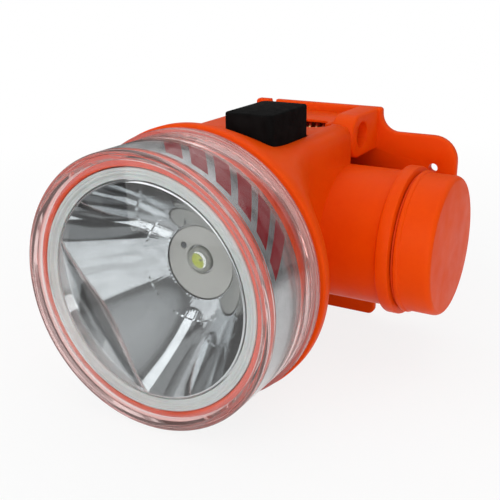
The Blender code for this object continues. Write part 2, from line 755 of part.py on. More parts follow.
def make_gasket():
    step = GASKET_INNER_R + GASKET_WIDTH * 0.45
    back = GASKET_FRONT_Y + GASKET_T
    profile = [
        (GASKET_FRONT_Y + GASKET_LIP, GASKET_INNER_R), (GASKET_FRONT_Y + GASKET_LIP, step - 0.3),
        (GASKET_FRONT_Y, step), (GASKET_FRONT_Y, GASKET_OUTER_R), (back, GASKET_OUTER_R),
        (back, GASKET_INNER_R),
    ]
    return turned("lens_gasket", profile, white_silicone())


def make_foil_band():
    start = FRONT_Y + FOIL_START
    return washer("foil_band", start, start + FOIL_WIDTH, FOIL_R - FOIL_T, FOIL_R, silver_foil(), "Y")


def make_cap_seal():
    start = CAP_REAR_Y + FIT
    inner = NECK_R + FIT
    return washer("cap_seal_ring", start, start + SEAL_T, inner, inner + SEAL_WIDTH, white_silicone(), "Y")


def reflector_radius(y):
    """Radius of the parabola that opens from the throat to the mouth."""
    share = (THROAT_Y - y) / REFLECTOR_DEPTH
    return math.sqrt(REFLECTOR_NECK_R ** 2 + (MOUTH_R ** 2 - REFLECTOR_NECK_R ** 2) * share)


def reflector_place(radius):
    """Place along Y where the parabola has this radius."""
    share = (radius ** 2 - REFLECTOR_NECK_R ** 2) / (MOUTH_R ** 2 - REFLECTOR_NECK_R ** 2)
    return THROAT_Y - REFLECTOR_DEPTH * share


def sink_screw_tip():
    """End of the blind screw hole in a reflector boss, behind the reflector's wall."""
    return reflector_place(SINK_SCREW_X - SCREW_HOLE_R) + 2 * REFLECTOR_T


def make_reflector():
    steps = [MOUTH_Y + REFLECTOR_DEPTH * i / REFLECTOR_RINGS for i in range(REFLECTOR_RINGS + 1)]
    inner = [(y, reflector_radius(y)) for y in steps]
    collar_y = THROAT_Y + REFLECTOR_COLLAR
    inside = [*inner, (collar_y, REFLECTOR_NECK_R)]
    wall = REFLECTOR_T * 1.2
    outside = [(collar_y, REFLECTOR_NECK_R + REFLECTOR_T)]
    outside += [(y, r + wall) for y, r in inner[::-2] if y > FLANGE_BACK_Y + REFLECTOR_T]
    outside += [(FLANGE_BACK_Y, reflector_radius(FLANGE_BACK_Y) + wall), (FLANGE_BACK_Y, NECK_BORE_R - FIT),
                (FLANGE_FRONT_Y, NECK_BORE_R - FIT), (FLANGE_FRONT_Y, MOUTH_R + REFLECTOR_LIP_T),
                (MOUTH_Y, MOUTH_R + REFLECTOR_LIP_T)]
    reflector = turned("reflector", inside + outside, chrome())
    for x in (-SINK_SCREW_X, SINK_SCREW_X):
        reach = reflector_place(SINK_SCREW_X + REFLECTOR_BOSS_R)
        boss = rod("boss", reach, SINK_FRONT_Y - FIT, REFLECTOR_BOSS_R, None, "Y", (x, 0, 0), 16)
        bowl = [(y, r + REFLECTOR_T * 0.5) for y, r in inner]
        behind = (collar_y + 1, REFLECTOR_NECK_R + REFLECTOR_T * 0.5)
        cut(boss, turned("bowl", [(MOUTH_Y, 0), *bowl, behind, (collar_y + 1, 0)]))
        join(reflector, boss)
        cut(reflector, rod("screw_hole", sink_screw_tip(), SINK_FRONT_Y, SCREW_HOLE_R, None, "Y",
                           (x, 0, 0), 16))
    shade(reflector)
    return reflector


# ---------------------------------------------------------------- LED and heat sink
def make_led():
    disc_r = REFLECTOR_NECK_R - FIT
    centre = (0, 0, LED_RISE)
    disc = rod("led_holder_disc", DISC_FRONT_Y, DISC_FRONT_Y + LED_DISC_T, disc_r, white_nylon(), "Y",
               steps=48)
    cut(disc, rod("hole", DISC_FRONT_Y - 1, STAR_FRONT_Y, LED_HOLE_R, None, "Y", centre, 32))
    cut(disc, rod("hole", DISC_FRONT_Y - 1, STAR_FRONT_Y, INDICATOR_R + FIT * 0.5, None, "Y",
                  (INDICATOR_X, 0, INDICATOR_Z), 16))
    shade(disc)
    star = rod("led_star_board", STAR_FRONT_Y, STAR_FRONT_Y + STAR_T, STAR_R, aluminium(), "Y", steps=32)
    base = turned("led_emitter_base", [(STAR_FRONT_Y - FIT - LED_BASE_T, 0),
                                       (STAR_FRONT_Y - FIT - LED_BASE_T, LED_BASE_R - 0.5),
                                       (STAR_FRONT_Y - FIT - LED_BASE_T + 0.5, LED_BASE_R),
                                       (STAR_FRONT_Y - FIT, LED_BASE_R), (STAR_FRONT_Y - FIT, 0)],
                  phosphor(), "Y", centre, 32)
    dome_y = STAR_FRONT_Y - FIT - LED_BASE_T - FIT
    arc = [(dome_y - LED_DOME_R * math.sin(a), LED_DOME_R * math.cos(a))
           for a in [math.radians(d) for d in (90, 72, 54, 36, 18, 0)]]
    arc[0] = (arc[0][0], 0)
    dome = turned("led_dome", [*arc, (dome_y, 0)], clear_dome(), "Y", centre, 24)
    lamp = rod("indicator_led", DISC_FRONT_Y + 0.2, STAR_FRONT_Y - FIT * 0.5, INDICATOR_R, white_nylon(), "Y",
               (INDICATOR_X, 0, INDICATOR_Z), 16)
    return disc, star, base, dome, lamp


def make_heat_sink():
    sink = rod("heat_sink", SINK_FRONT_Y, SINK_BACK_Y, SINK_R, aluminium(), "Y", steps=32)
    reach = SINK_SCREW_X + SINK_EAR_HALF
    join(sink, box("ears", (-reach, SINK_FRONT_Y, -SINK_EAR_HALF), (reach, SINK_BACK_Y, SINK_EAR_HALF)))
    for x in (-SINK_SCREW_X, SINK_SCREW_X):
        cut(sink, rod("hole", SINK_FRONT_Y - 1, SINK_BACK_Y + 1, SCREW_HOLE_R, None, "Y", (x, 0, 0), 16))
    for x in (-LED_LEAD_X, LED_LEAD_X):
        cut(sink, rod("hole", SINK_FRONT_Y - 1, SINK_BACK_Y + 1, LEAD_R + FIT, None, "Y",
                      (x, 0, LED_LEAD_Z), 16))
    shade(sink)
    return sink


def make_screw(name, centre, seat, tip):
    """A pan-head screw along Y: its head rests behind or ahead of seat, its tip at tip."""
    side = 1 if tip < seat else -1
    head = seat + side * FIT * 0.5
    end = head + side * SCREW_HEAD_T
    profile = [(tip, 0), (tip, SCREW_R), (head, SCREW_R), (head, SCREW_HEAD_R),
               (end - side * 0.4, SCREW_HEAD_R), (end, SCREW_HEAD_R - 0.4), (end, 0)]
    return turned(name, profile, steel(), "Y", centre, 16)


# ---------------------------------------------------------------- button, switch and board
def button_prism(name, gap, low, high):
    """The button's outline, grown by gap, from low to high."""
    outline = rounded_rectangle(BUTTON_X - BUTTON_HALF_X - gap, BUTTON_Y - BUTTON_HALF_Y - gap,
                                BUTTON_X + BUTTON_HALF_X + gap, BUTTON_Y + BUTTON_HALF_Y + gap,
                                BUTTON_CORNER + gap, 5)
    return extruded(name, outline, "Z", low, high)


def make_button():
    """A square cap with soft edges and a low crown, its foot flange inside the housing."""
    def ring(z, grow):
        outline = rounded_rectangle(-BUTTON_HALF_X - grow, -BUTTON_HALF_Y - grow, BUTTON_HALF_X + grow,
                                    BUTTON_HALF_Y + grow, max(BUTTON_CORNER + grow, 0.4), 5)
        return [(BUTTON_X + x, BUTTON_Y + y, z) for x, y in outline]

    def shrunk(share, z):
        return [(BUTTON_X + (x - BUTTON_X) * share, BUTTON_Y + (y - BUTTON_Y) * share, z)
                for x, y, _ in ring(0, -BUTTON_EDGE)]

    edge = BUTTON_EDGE
    rings = [ring(BUTTON_FOOT - BUTTON_FLANGE_T / 2, 0), ring(BUTTON_TOP - edge, 0)]
    rings += [ring(BUTTON_TOP - edge * 0.35, -edge * 0.3), ring(BUTTON_TOP, -edge)]
    rings += [shrunk(s, BUTTON_TOP + BUTTON_CROWN * (1 - s * s)) for s in (0.7, 0.4, 0.1)]
    button = loft("push_button", rings, black_rubber())
    join(button, button_prism("flange", BUTTON_FLANGE, BUTTON_FOOT - BUTTON_FLANGE_T, BUTTON_FOOT))
    stem_foot = SWITCH_TOP - BUTTON_TRAVEL
    join(button, rod("stem", stem_foot, BUTTON_FOOT, STEM_R, None, "Z", (BUTTON_X, BUTTON_Y, 0)))
    shade(button)
    return button


def make_switch():
    front = BUTTON_Y - SWITCH_FRONT
    switch = box("switch_body", (BUTTON_X - SWITCH_HALF, front, SWITCH_TOP - SWITCH_HEIGHT),
                 (BUTTON_X + SWITCH_HALF, BOARD_FRONT_Y - FIT, SWITCH_TOP), black_plastic())
    return cut(switch, rod("well", SWITCH_TOP - 2 * BUTTON_TRAVEL - 2 * FIT, SWITCH_TOP + 1, STEM_R + FIT,
                           None, "Z", (BUTTON_X, BUTTON_Y, 0)))


def make_board():
    board = box("driver_board", (-BOARD_HALF, BOARD_FRONT_Y, BOARD_BOTTOM),
                (BOARD_HALF, BOARD_BACK_Y, BOARD_TOP), green_board())
    for x in (-BOARD_SCREW_X, BOARD_SCREW_X):
        cut(board, rod("hole", BOARD_FRONT_Y - 1, BOARD_BACK_Y + 1, SCREW_HOLE_R, None, "Y",
                       (x, 0, BOARD_SCREW_Z), 16))
    seat = BOARD_FRONT_Y - FIT
    capacitor = rod("driver_capacitor", seat - CAPACITOR_LENGTH, seat, CAPACITOR_R, aluminium(), "Y",
                    (PARTS_X, 0, PARTS_PITCH), SMALL_STEPS)
    coil = washer("driver_inductor", seat - INDUCTOR_LENGTH, seat, INDUCTOR_BORE_R, INDUCTOR_R,
                  black_plastic(), "Y", (PARTS_X, 0, 0), SMALL_STEPS)
    return board, capacitor, coil


def make_leads():
    """Short straight leads: board to LED board, and board to the battery strips."""
    looks = (red_lead(), black_lead())
    for x, word, look in zip((-LED_LEAD_X, LED_LEAD_X), ("red", "black"), looks):
        rod(f"led_lead_{word}", STAR_FRONT_Y + STAR_T + FIT, BOARD_FRONT_Y - FIT, LEAD_R, look, "Y",
            (x, 0, LED_LEAD_Z), 12)
    strip_y = BARREL_Y - CELL_R - FIT - STRIP_T
    for x, word, look in zip((-STRIP_FEED_X, STRIP_FEED_X), ("red", "black"), looks):
        rod(f"battery_lead_{word}", BOARD_BACK_Y + FIT, strip_y - FIT, LEAD_R, look, "Y",
            (x, 0, BARREL_Z), 12)


# ---------------------------------------------------------------- battery and its cap
def make_cell():
    nub = CELL_NUB_R
    profile = [(CELL_LEFT, 0), (CELL_LEFT, nub), (CELL_LEFT + 1.2, nub), (CELL_LEFT + 1.2, CELL_R - 1.0),
               (CELL_LEFT + 2.2, CELL_R), (CELL_RIGHT - 0.6, CELL_R), (CELL_RIGHT, CELL_R - 0.6),
               (CELL_RIGHT, 0)]
    return turned("battery_cell", profile, cell_sleeve(), "X", (0, BARREL_Y, BARREL_Z), 48)


def make_strips():
    """Sprung metal strips between the cell and the bore: one to each end of the cell."""
    outer = BARREL_Y - CELL_R - FIT - STRIP_T
    inner = BARREL_Y - CELL_R - FIT
    low, high = BARREL_Z - STRIP_WIDTH / 2, BARREL_Z + STRIP_WIDTH / 2
    tongue = CELL_LEFT - FIT - STRIP_T
    plus = box("positive_strip", (tongue, outer, low), (-STRIP_FEED_X + STRIP_REACH, inner, high), nickel())
    join(plus, box("tongue", (tongue, outer, low), (tongue + STRIP_T, BARREL_Y + STRIP_WIDTH / 2, high)))
    start = STRIP_FEED_X - STRIP_REACH
    box("negative_strip", (start, outer, low), (SKIRT_START - FIT, inner, high), nickel())


def make_battery_cap():
    edge = BATTERY_CAP_EDGE
    ridge_r = BATTERY_CAP_R + BATTERY_RIDGE_RISE
    ridge_end = CAP_START + BATTERY_RIDGE_WIDTH
    turns = [math.radians(d) for d in (0, 30, 60, 90)]
    rounding = [(BATTERY_CAP_END - edge * (1 - math.sin(a)),
                 BATTERY_CAP_R - BATTERY_CAP_TAPER * (1 - math.cos(a))) for a in turns]
    inner = SKIRT_R - BATTERY_SKIRT_WALL
    profile = [
        (BATTERY_CAP_END - BATTERY_CAP_WALL, 0), (BATTERY_CAP_END - BATTERY_CAP_WALL, inner),
        (SKIRT_START, inner), (SKIRT_START, SKIRT_R), (CAP_START, SKIRT_R),
        (CAP_START, ridge_r - 0.3), (CAP_START + 0.3, ridge_r),
        (ridge_end - 0.3, ridge_r), (ridge_end, BATTERY_CAP_R), *rounding, (BATTERY_CAP_END, 0),
    ]
    return turned("battery_cap", profile, orange_abs(), "X", (0, BARREL_Y, BARREL_Z))


def make_battery_seal():
    start = COLLAR_END + FIT
    return washer("battery_cap_seal", start, start + BATTERY_SEAL_T, SKIRT_R + FIT,
                  BATTERY_CAP_R - BATTERY_SEAL_SINK,
                  orange_rubber(), "X", (0, BARREL_Y, BARREL_Z))


def make_cap_spring():
    wire = BATTERY_SPRING_WIRE_R
    start = BATTERY_CAP_END - BATTERY_CAP_WALL - FIT - wire
    end = CELL_RIGHT + FIT + wire
    return make_coil("battery_spring", start, end, BATTERY_SPRING_R, BATTERY_SPRING_CURLS, wire, steel(),
                     (0, BARREL_Y, BARREL_Z), taper=BATTERY_SPRING_TAPER)


def main():
    for thing in list(bpy.data.objects):
        bpy.data.objects.remove(thing)
    make_bracket()
    make_housing()
    make_hinge_pin()
    make_washer()
    make_tilt_spring()
    make_lens_cap()
    make_gasket()
    make_foil_band()
    make_cap_seal()
    make_reflector()
    make_led()
    make_heat_sink()
    for number, x in enumerate((-SINK_SCREW_X, SINK_SCREW_X), 1):
        make_screw(f"heat_sink_screw_{number}", (x, 0, 0), SINK_BACK_Y, sink_screw_tip() + SCREW_BITE)
    make_button()
    make_switch()
    make_board()
    for number, x in enumerate((-BOARD_SCREW_X, BOARD_SCREW_X), 1):
        make_screw(f"board_screw_{number}", (x, 0, BOARD_SCREW_Z), BOARD_FRONT_Y,
                   CAVITY_REAR_Y + BOARD_SCREW_DEPTH - SCREW_BITE)
    make_leads()
    make_cell()
    make_strips()
    make_battery_cap()
    make_battery_seal()
    make_cap_spring()


main()
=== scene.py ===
"""A miner's cap lamp on its bracket, dressed and lit as in a studio picture.

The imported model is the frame. The pieces that show are built again here with finer
edges, and the small pieces inside keep their meshes and take better finishes. Sizes are
in millimetres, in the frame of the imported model: the beam leaves along -Y, +X points to
the battery cap and +Z is up.
"""
import logging
import math
from dataclasses import dataclass
from enum import Enum

import bmesh
import bpy
from mathutils import Matrix, Vector


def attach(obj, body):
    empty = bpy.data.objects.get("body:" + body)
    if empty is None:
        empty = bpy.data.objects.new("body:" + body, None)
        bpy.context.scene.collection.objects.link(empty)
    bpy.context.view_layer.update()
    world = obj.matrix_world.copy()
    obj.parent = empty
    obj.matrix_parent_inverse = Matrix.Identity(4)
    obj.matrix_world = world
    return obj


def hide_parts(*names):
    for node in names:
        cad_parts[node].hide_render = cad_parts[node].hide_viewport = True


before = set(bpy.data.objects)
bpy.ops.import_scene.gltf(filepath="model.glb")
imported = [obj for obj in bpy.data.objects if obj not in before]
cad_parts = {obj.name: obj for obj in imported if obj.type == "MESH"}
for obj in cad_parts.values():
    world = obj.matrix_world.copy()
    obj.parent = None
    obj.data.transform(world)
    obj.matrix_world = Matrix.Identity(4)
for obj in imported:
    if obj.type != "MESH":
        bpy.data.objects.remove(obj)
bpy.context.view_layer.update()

MM = 0.001
BEAM = (0.0, 0.0, 0.0)
BARREL = (0.0, -25.0, -0.4)
HINGE = (0.0, -15.3, 26.2)
RIM_STEPS = 3
EDGE_STEPS = 2
LOG = logging.getLogger("cap_lamp")

Colour = tuple[float, float, float]
Place = tuple[float, float, float]
Profile = list[tuple[float, float]]
Socket = bpy.types.NodeSocket
Piece = bpy.types.Object


class Axis(Enum):
    """The direction a piece is turned about or runs along."""

    X = ((1, 0, 0), (0, 0, 1))
    Y = ((0, 1, 0), (0, 0, 1))
    Z = ((0, 0, 1), (1, 0, 0))

    @property
    def along(self) -> Vector:
        """The unit vector along the axis."""
        return Vector(self.value[0])

    @property
    def out(self) -> Vector:
        """A unit vector at right angles to the axis."""
        return Vector(self.value[1])

    def point(self, a: float, b: float, c: float) -> Place:
        """Place a 2-D point (a, b) at c along the axis.

        Args:
            a: First coordinate of the outline.
            b: Second coordinate of the outline.
            c: Place along the axis.

        Returns:
            The point in X, Y, Z order.
        """
        order = {"X": (c, a, b), "Y": (a, c, b), "Z": (a, b, c)}
        return order[self.name]


class Body(Enum):
    """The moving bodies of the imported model."""

    BRACKET = "bracket"
    LAMP = "lamp"
    GASKET = "gasket"
    CLEAR_CAP = "clear_cap"
    BUTTON = "button"
    CAP_SEAL = "cap_seal"
    END_CAP = "end_cap"


# ---------------------------------------------------------------- finishes
class NodeSheet:
    """One procedural material, written node by node on coordinates in millimetres."""

    def __init__(self, name: str) -> None:
        """Start a material.

        Args:
            name: The material's name.
        """
        self.material = bpy.data.materials.new(name)
        self.material.use_nodes = True
        self.tree = self.material.node_tree
        self.shader = self.tree.nodes["Principled BSDF"]
        source = self.tree.nodes.new("ShaderNodeTexCoord")
        scale = self.tree.nodes.new("ShaderNodeMapping")
        scale.inputs["Scale"].default_value = (1 / MM, 1 / MM, 1 / MM)
        self.tree.links.new(source.outputs["Object"], scale.inputs["Vector"])
        self.place = scale.outputs["Vector"]

    def node(self, kind: str) -> bpy.types.Node:
        """Add a node of the given kind."""
        return self.tree.nodes.new(kind)

    def feed(self, socket: Socket, value: object) -> None:
        """Link an output to a socket, or set a plain value on it.

        Args:
            socket: The input to feed.
            value: An output socket, a number or a colour.
        """
        if isinstance(value, bpy.types.NodeSocket):
            self.tree.links.new(value, socket)
        else:
            socket.default_value = value

    def plain(self, **values: object) -> None:
        """Set constants straight on the shader, with underscores for spaces."""
        for name, value in values.items():
            self.shader.inputs[name.replace("_", " ")].default_value = value

    def drive(self, name: str, value: Socket) -> None:
        """Link an output to one of the shader's inputs."""
        self.tree.links.new(value, self.shader.inputs[name])

    def math(self, operation: str, *values: object) -> Socket:
        """Add a Math node.

        Args:
            operation: The node's operation.
            values: Its inputs in order, as outputs or numbers.

        Returns:
            The node's output.
        """
        node = self.node("ShaderNodeMath")
        node.operation = operation
        for socket, value in zip(node.inputs, values):
            self.feed(socket, value)
        return node.outputs[0]

    def times(self, first: object, second: object) -> Socket:
        """Multiply two values."""
        return self.math("MULTIPLY", first, second)

    def plus(self, first: object, second: object) -> Socket:
        """Add two values."""
        return self.math("ADD", first, second)

    def below(self, first: object, second: object) -> Socket:
        """Return 1 where the first value is less than the second."""
        return self.math("LESS_THAN", first, second)

    def apart(self, first: object, second: object) -> Socket:
        """Return how far apart two values are."""
        return self.math("ABSOLUTE", self.math("SUBTRACT", first, second))

    def reach(self, first: Socket, second: Socket) -> Socket:
        """Return the distance from the axis across two coordinates."""
        return self.math("SQRT", self.plus(self.times(first, first), self.times(second, second)))

    def axes(self) -> tuple[Socket, Socket, Socket]:
        """Split the place into X, Y and Z in millimetres."""
        node = self.node("ShaderNodeSeparateXYZ")
        self.tree.links.new(self.place, node.inputs[0])
        return node.outputs[0], node.outputs[1], node.outputs[2]

    def stretched(self, scale: Place) -> Socket:
        """Return the place with each axis multiplied by a number."""
        node = self.node("ShaderNodeVectorMath")
        node.operation = "MULTIPLY"
        self.tree.links.new(self.place, node.inputs[0])
        node.inputs[1].default_value = scale
        return node.outputs[0]

    def noise(self, size: float, detail: float = 3.0, at: Socket | None = None) -> Socket:
        """Add a noise.

        Args:
            size: Rough size of a blotch in millimetres.
            detail: Octaves of finer noise.
            at: The place to read, or None for the plain one.

        Returns:
            The noise from 0 to 1.
        """
        node = self.node("ShaderNodeTexNoise")
        self.tree.links.new(at or self.place, node.inputs["Vector"])
        node.inputs["Scale"].default_value = 1.0 / size
        node.inputs["Detail"].default_value = detail
        return node.outputs[0]

    def spread(self, value: Socket, low: float, high: float, start: float = 0.3,
               end: float = 0.7) -> Socket:
        """Map a value from start..end to low..high, held at both ends.

        Args:
            value: The output to map.
            low: The result at start.
            high: The result at end.
            start: Lower end of what is read.
            end: Upper end of what is read.

        Returns:
            The mapped output.
        """
        node = self.node("ShaderNodeMapRange")
        for name, number in (("From Min", start), ("From Max", end), ("To Min", low), ("To Max", high)):
            node.inputs[name].default_value = number
        self.tree.links.new(value, node.inputs["Value"])
        return node.outputs[0]

    def blend(self, share: Socket, first: object, second: object) -> Socket:
        """Mix two colours.

        Args:
            share: 0 for the first colour, 1 for the second.
            first: A colour or an output.
            second: A colour or an output.

        Returns:
            The mixed colour.
        """
        node = self.node("ShaderNodeMix")
        node.data_type = "RGBA"
        self.tree.links.new(share, node.inputs[0])
        for socket, value in ((node.inputs[6], first), (node.inputs[7], second)):
            self.feed(socket, (*value, 1.0) if isinstance(value, tuple) else value)
        return node.outputs[2]

    def relief(self, height: Socket, depth: float, strength: float = 1.0) -> None:
        """Add a bump and feed it to the shader's normal.

        Args:
            height: The height from 0 to 1.
            depth: What 1 stands for, in millimetres.
            strength: The bump's strength.
        """
        node = self.node("ShaderNodeBump")
        node.inputs["Distance"].default_value = depth * MM
        node.inputs["Strength"].default_value = strength
        self.tree.links.new(height, node.inputs["Height"])
        self.drive("Normal", node.outputs[0])

    def lets_lamps_through(self) -> None:
        """Let light rays pass this glass, so that what is behind it is lit."""
        mix = self.node("ShaderNodeMixShader")
        clear = self.node("ShaderNodeBsdfTransparent")
        path = self.node("ShaderNodeLightPath")
        output = self.tree.nodes["Material Output"]
        self.tree.links.new(path.outputs["Is Shadow Ray"], mix.inputs[0])
        self.tree.links.new(self.shader.outputs[0], mix.inputs[1])
        self.tree.links.new(clear.outputs[0], mix.inputs[2])
        self.tree.links.new(mix.outputs[0], output.inputs["Surface"])


@dataclass(frozen=True)
class Finish:
    """A named finish. Each kind writes its own nodes in draw().

    Attributes:
        name: The material's name.
        colour: The main colour, linear.
        roughness: The middle of the roughness.
        shine: The shader's specular level.
    """

    name: str
    colour: Colour
    roughness: float
    shine: float = 0.5

    def paint(self) -> bpy.types.Material:
        """Return the finish's material, made on first use."""
        found = bpy.data.materials.get(self.name)
        if found:
            return found
        sheet = NodeSheet(self.name)
        sheet.plain(Specular_IOR_Level=self.shine)
        self.draw(sheet)
        sheet.material.diffuse_color = (*self.colour, 1.0)
        return sheet.material

    def dulled(self, share: float) -> Colour:
        """Return the main colour times a share."""
        return tuple(c * share for c in self.colour)

    def draw(self, sheet: NodeSheet) -> None:
        """Write the nodes of this kind of finish."""
        raise NotImplementedError


@dataclass(frozen=True)
class MouldedPlastic(Finish):
    """Injection-moulded plastic: faint flow marks, a fine grain and uneven gloss.

    Attributes:
        deep: Colour in the darker flow marks.
        grain: Size of the grain in millimetres.
        grain_depth: Height of the grain in millimetres.
        glow: Share of light that spreads under the surface.
        glow_reach: How far it spreads, in millimetres.
        glow_tint: How far each of red, green and blue spreads.
    """

    deep: Colour = (0.5, 0.5, 0.5)
    grain: float = 0.35
    grain_depth: float = 0.012
    glow: float = 0.0
    glow_reach: float = 2.0
    glow_tint: Colour = (1.0, 0.2, 0.1)

    def draw(self, sheet: NodeSheet) -> None:
        """Write colour, gloss and grain."""
        flow = sheet.noise(16.0, 2.0)
        speck = sheet.noise(1.4, 4.0)
        mottled = sheet.plus(sheet.times(flow, 0.7), sheet.times(speck, 0.3))
        sheet.drive("Base Color", sheet.blend(sheet.spread(mottled, 0.0, 1.0, 0.35, 0.65), self.deep, self.colour))
        rub = sheet.noise(5.0, 5.0)
        sheet.drive("Roughness", sheet.spread(rub, self.roughness - 0.06, self.roughness + 0.07))
        sheet.relief(sheet.noise(self.grain, 3.0), self.grain_depth)
        if self.glow:
            sheet.plain(Subsurface_Weight=self.glow, Subsurface_Scale=self.glow_reach * MM,
                        Subsurface_Radius=self.glow_tint)


@dataclass(frozen=True)
class ClearPlastic(Finish):
    """Clear moulded plastic with faint rubbing marks, hazy where it is thick, with a painted pink glow there that
    stands in for the orange neck seen through the wall.

    Attributes:
        index: Refractive index.
        marks: Height of the rubbing marks in millimetres.
        haze: Share of haze in the hazy zones.
        haze_and_painted_glow_tint: Colour of the hazy zones, a pink that paints the glow of the orange neck seen
            through the wall.
        haze_and_painted_glow_r: Radius outside which the zones below are hazy and painted pink.
        haze_and_painted_glow_y: The front zone ends at the first place along Y, the rear zone starts at the second.
    """

    index: float = 1.5
    marks: float = 0.002
    haze: float = 0.0
    # pink painted glow of the orange neck, seen through the thick rim and flange
    haze_and_painted_glow_tint: Colour = (0.85, 0.5, 0.47)
    haze_and_painted_glow_r: float = 31.2
    haze_and_painted_glow_y: tuple[float, float] = (-93.6, -76.6)

    def draw(self, sheet: NodeSheet) -> None:
        """Write clear glass-like nodes that lamps shine through."""
        sheet.plain(Base_Color=(*self.colour, 1.0), Transmission_Weight=1.0, IOR=self.index,
                    Specular_IOR_Level=0.32)
        rub = sheet.noise(6.0, 6.0)
        rough = sheet.spread(rub, self.roughness * 0.4, self.roughness * 1.8)
        scratch = sheet.noise(0.5, 4.0, sheet.stretched((1.0, 0.08, 1.0)))
        if self.haze:
            x, y, z = sheet.axes()
            reach = sheet.reach(x, z)
            front, rear = self.haze_and_painted_glow_y
            zone = sheet.math("MAXIMUM", sheet.spread(y, 1.0, 0.0, front - 0.4, front + 0.4),
                              sheet.spread(y, 0.0, 1.0, rear - 0.4, rear + 0.4))
            zone = sheet.times(zone, sheet.spread(reach, 0.0, 1.0, self.haze_and_painted_glow_r - 0.3, self.haze_and_painted_glow_r + 0.5))
            sheet.drive("Transmission Weight", sheet.spread(zone, 1.0, 1.0 - self.haze, 0.0, 1.0))
            # painted glow: the thick rim and flange are tinted pink, in the glass and its haze, for the orange
            # neck's light carried through the wall
            sheet.drive("Base Color", sheet.blend(zone, self.colour, self.haze_and_painted_glow_tint))
            rough = sheet.plus(rough, sheet.times(zone, 0.01))
        sheet.drive("Roughness", rough)
        sheet.relief(scratch, self.marks)
        sheet.lets_lamps_through()


@dataclass(frozen=True)
class MirrorCoating(Finish):
    """Vacuum-metallised plastic: a bright mirror with slow waves and fine dust.

    Attributes:
        wave: Height of the slow waves in millimetres.
    """

    wave: float = 0.03

    def draw(self, sheet: NodeSheet) -> None:
        """Write a mirror with uneven gloss."""
        dust = sheet.noise(0.7, 5.0)
        tone = sheet.noise(9.0, 2.0)
        dull = self.dulled(0.93)
        sheet.drive("Base Color", sheet.blend(sheet.spread(tone, 0.0, 1.0), dull, self.colour))
        sheet.plain(Metallic=1.0)
        sheet.drive("Roughness", sheet.spread(dust, self.roughness * 0.6, self.roughness * 1.6, 0.35, 0.75))
        sheet.relief(sheet.noise(7.0, 1.0), self.wave, 0.5)


class Lay(Enum):
    """How the surface of a metal piece was worked."""

    CAST = (1.0, 1.0, 1.0)
    BRUSHED_X = (0.06, 1.0, 1.0)
    BRUSHED_Y = (1.0, 0.06, 1.0)


@dataclass(frozen=True)
class Metal(Finish):
    """Plated, cast or brushed metal.

    Attributes:
        worn: Colour where the surface is dull.
        lay: The direction of the working marks.
        mark: Size of the marks in millimetres.
        mark_depth: Height of the marks in millimetres.
    """

    worn: Colour = (0.4, 0.4, 0.4)
    lay: Lay = Lay.CAST
    mark: float = 0.3
    mark_depth: float = 0.006

    def draw(self, sheet: NodeSheet) -> None:
        """Write metal with marks along its lay."""
        marks = sheet.noise(self.mark, 4.0, sheet.stretched(self.lay.value))
        tone = sheet.noise(2.5, 4.0)
        sheet.drive("Base Color", sheet.blend(sheet.spread(tone, 0.0, 1.0), self.worn, self.colour))
        sheet.plain(Metallic=1.0)
        sheet.drive("Roughness", sheet.spread(marks, self.roughness - 0.08, self.roughness + 0.1))
        sheet.relief(marks, self.mark_depth)


@dataclass(frozen=True)
class PrintedFoil(Finish):
    """Silver foil wrapped round the neck, printed with groups of slanted red bars.

    Attributes:
        ink: Colour of the bars.
        radius: Radius of the band in millimetres.
        middle: Place of the band's middle along Y.
        half: Half the height of the bars.
        pitch: From one bar to the next, round the band.
        width: Width of a bar.
        slant: Run of a bar round the band for each millimetre along Y.
        group: Bars in a group.
        gap: Places left empty between groups.
    """

    ink: Colour = (0.4, 0.02, 0.03)
    radius: float = 32.9
    middle: float = -85.1
    half: float = 4.9
    pitch: float = 7.4
    width: float = 4.6
    slant: float = 0.75
    group: int = 6
    gap: int = 4

    def draw(self, sheet: NodeSheet) -> None:
        """Write the foil and its bars."""
        x, y, z = sheet.axes()
        turn = sheet.math("ARCTAN2", x, z)
        run = sheet.times(turn, self.radius)
        up = sheet.math("SUBTRACT", y, self.middle)
        slanted = sheet.plus(run, sheet.times(up, self.slant))
        count = round(2 * math.pi * self.radius / self.pitch / (self.group + self.gap)) * (self.group + self.gap)
        pitch = 2 * math.pi * self.radius / count
        cells = sheet.math("DIVIDE", sheet.plus(slanted, 2 * math.pi * self.radius), pitch)
        inside = sheet.math("FRACT", cells)
        bar = sheet.below(sheet.apart(inside, 0.5),
                         0.5 * self.width / pitch)
        number = sheet.math("MODULO", sheet.math("FLOOR", cells), float(self.group + self.gap))
        grouped = sheet.below(number, self.group - 0.5)
        tall = sheet.below(sheet.math("ABSOLUTE", up), self.half)
        ink = sheet.times(sheet.times(bar, grouped), tall)
        tone = sheet.noise(3.0, 3.0)
        dull = self.dulled(0.85)
        silver = sheet.blend(sheet.spread(tone, 0.0, 1.0), dull, self.colour)
        sheet.drive("Base Color", sheet.blend(ink, silver, self.ink))
        sheet.drive("Metallic", sheet.spread(ink, 0.92, 0.0, 0.0, 1.0))
        sheet.drive("Specular IOR Level", sheet.spread(ink, 0.5, 0.1, 0.0, 1.0))
        rub = sheet.noise(0.8, 4.0, sheet.stretched((1.0, 0.2, 1.0)))
        sheet.drive("Roughness", sheet.plus(sheet.spread(rub, self.roughness - 0.05, self.roughness + 0.06),
                                            sheet.times(ink, 0.12)))
        sheet.relief(sheet.noise(4.5, 2.0), 0.05, 0.6)


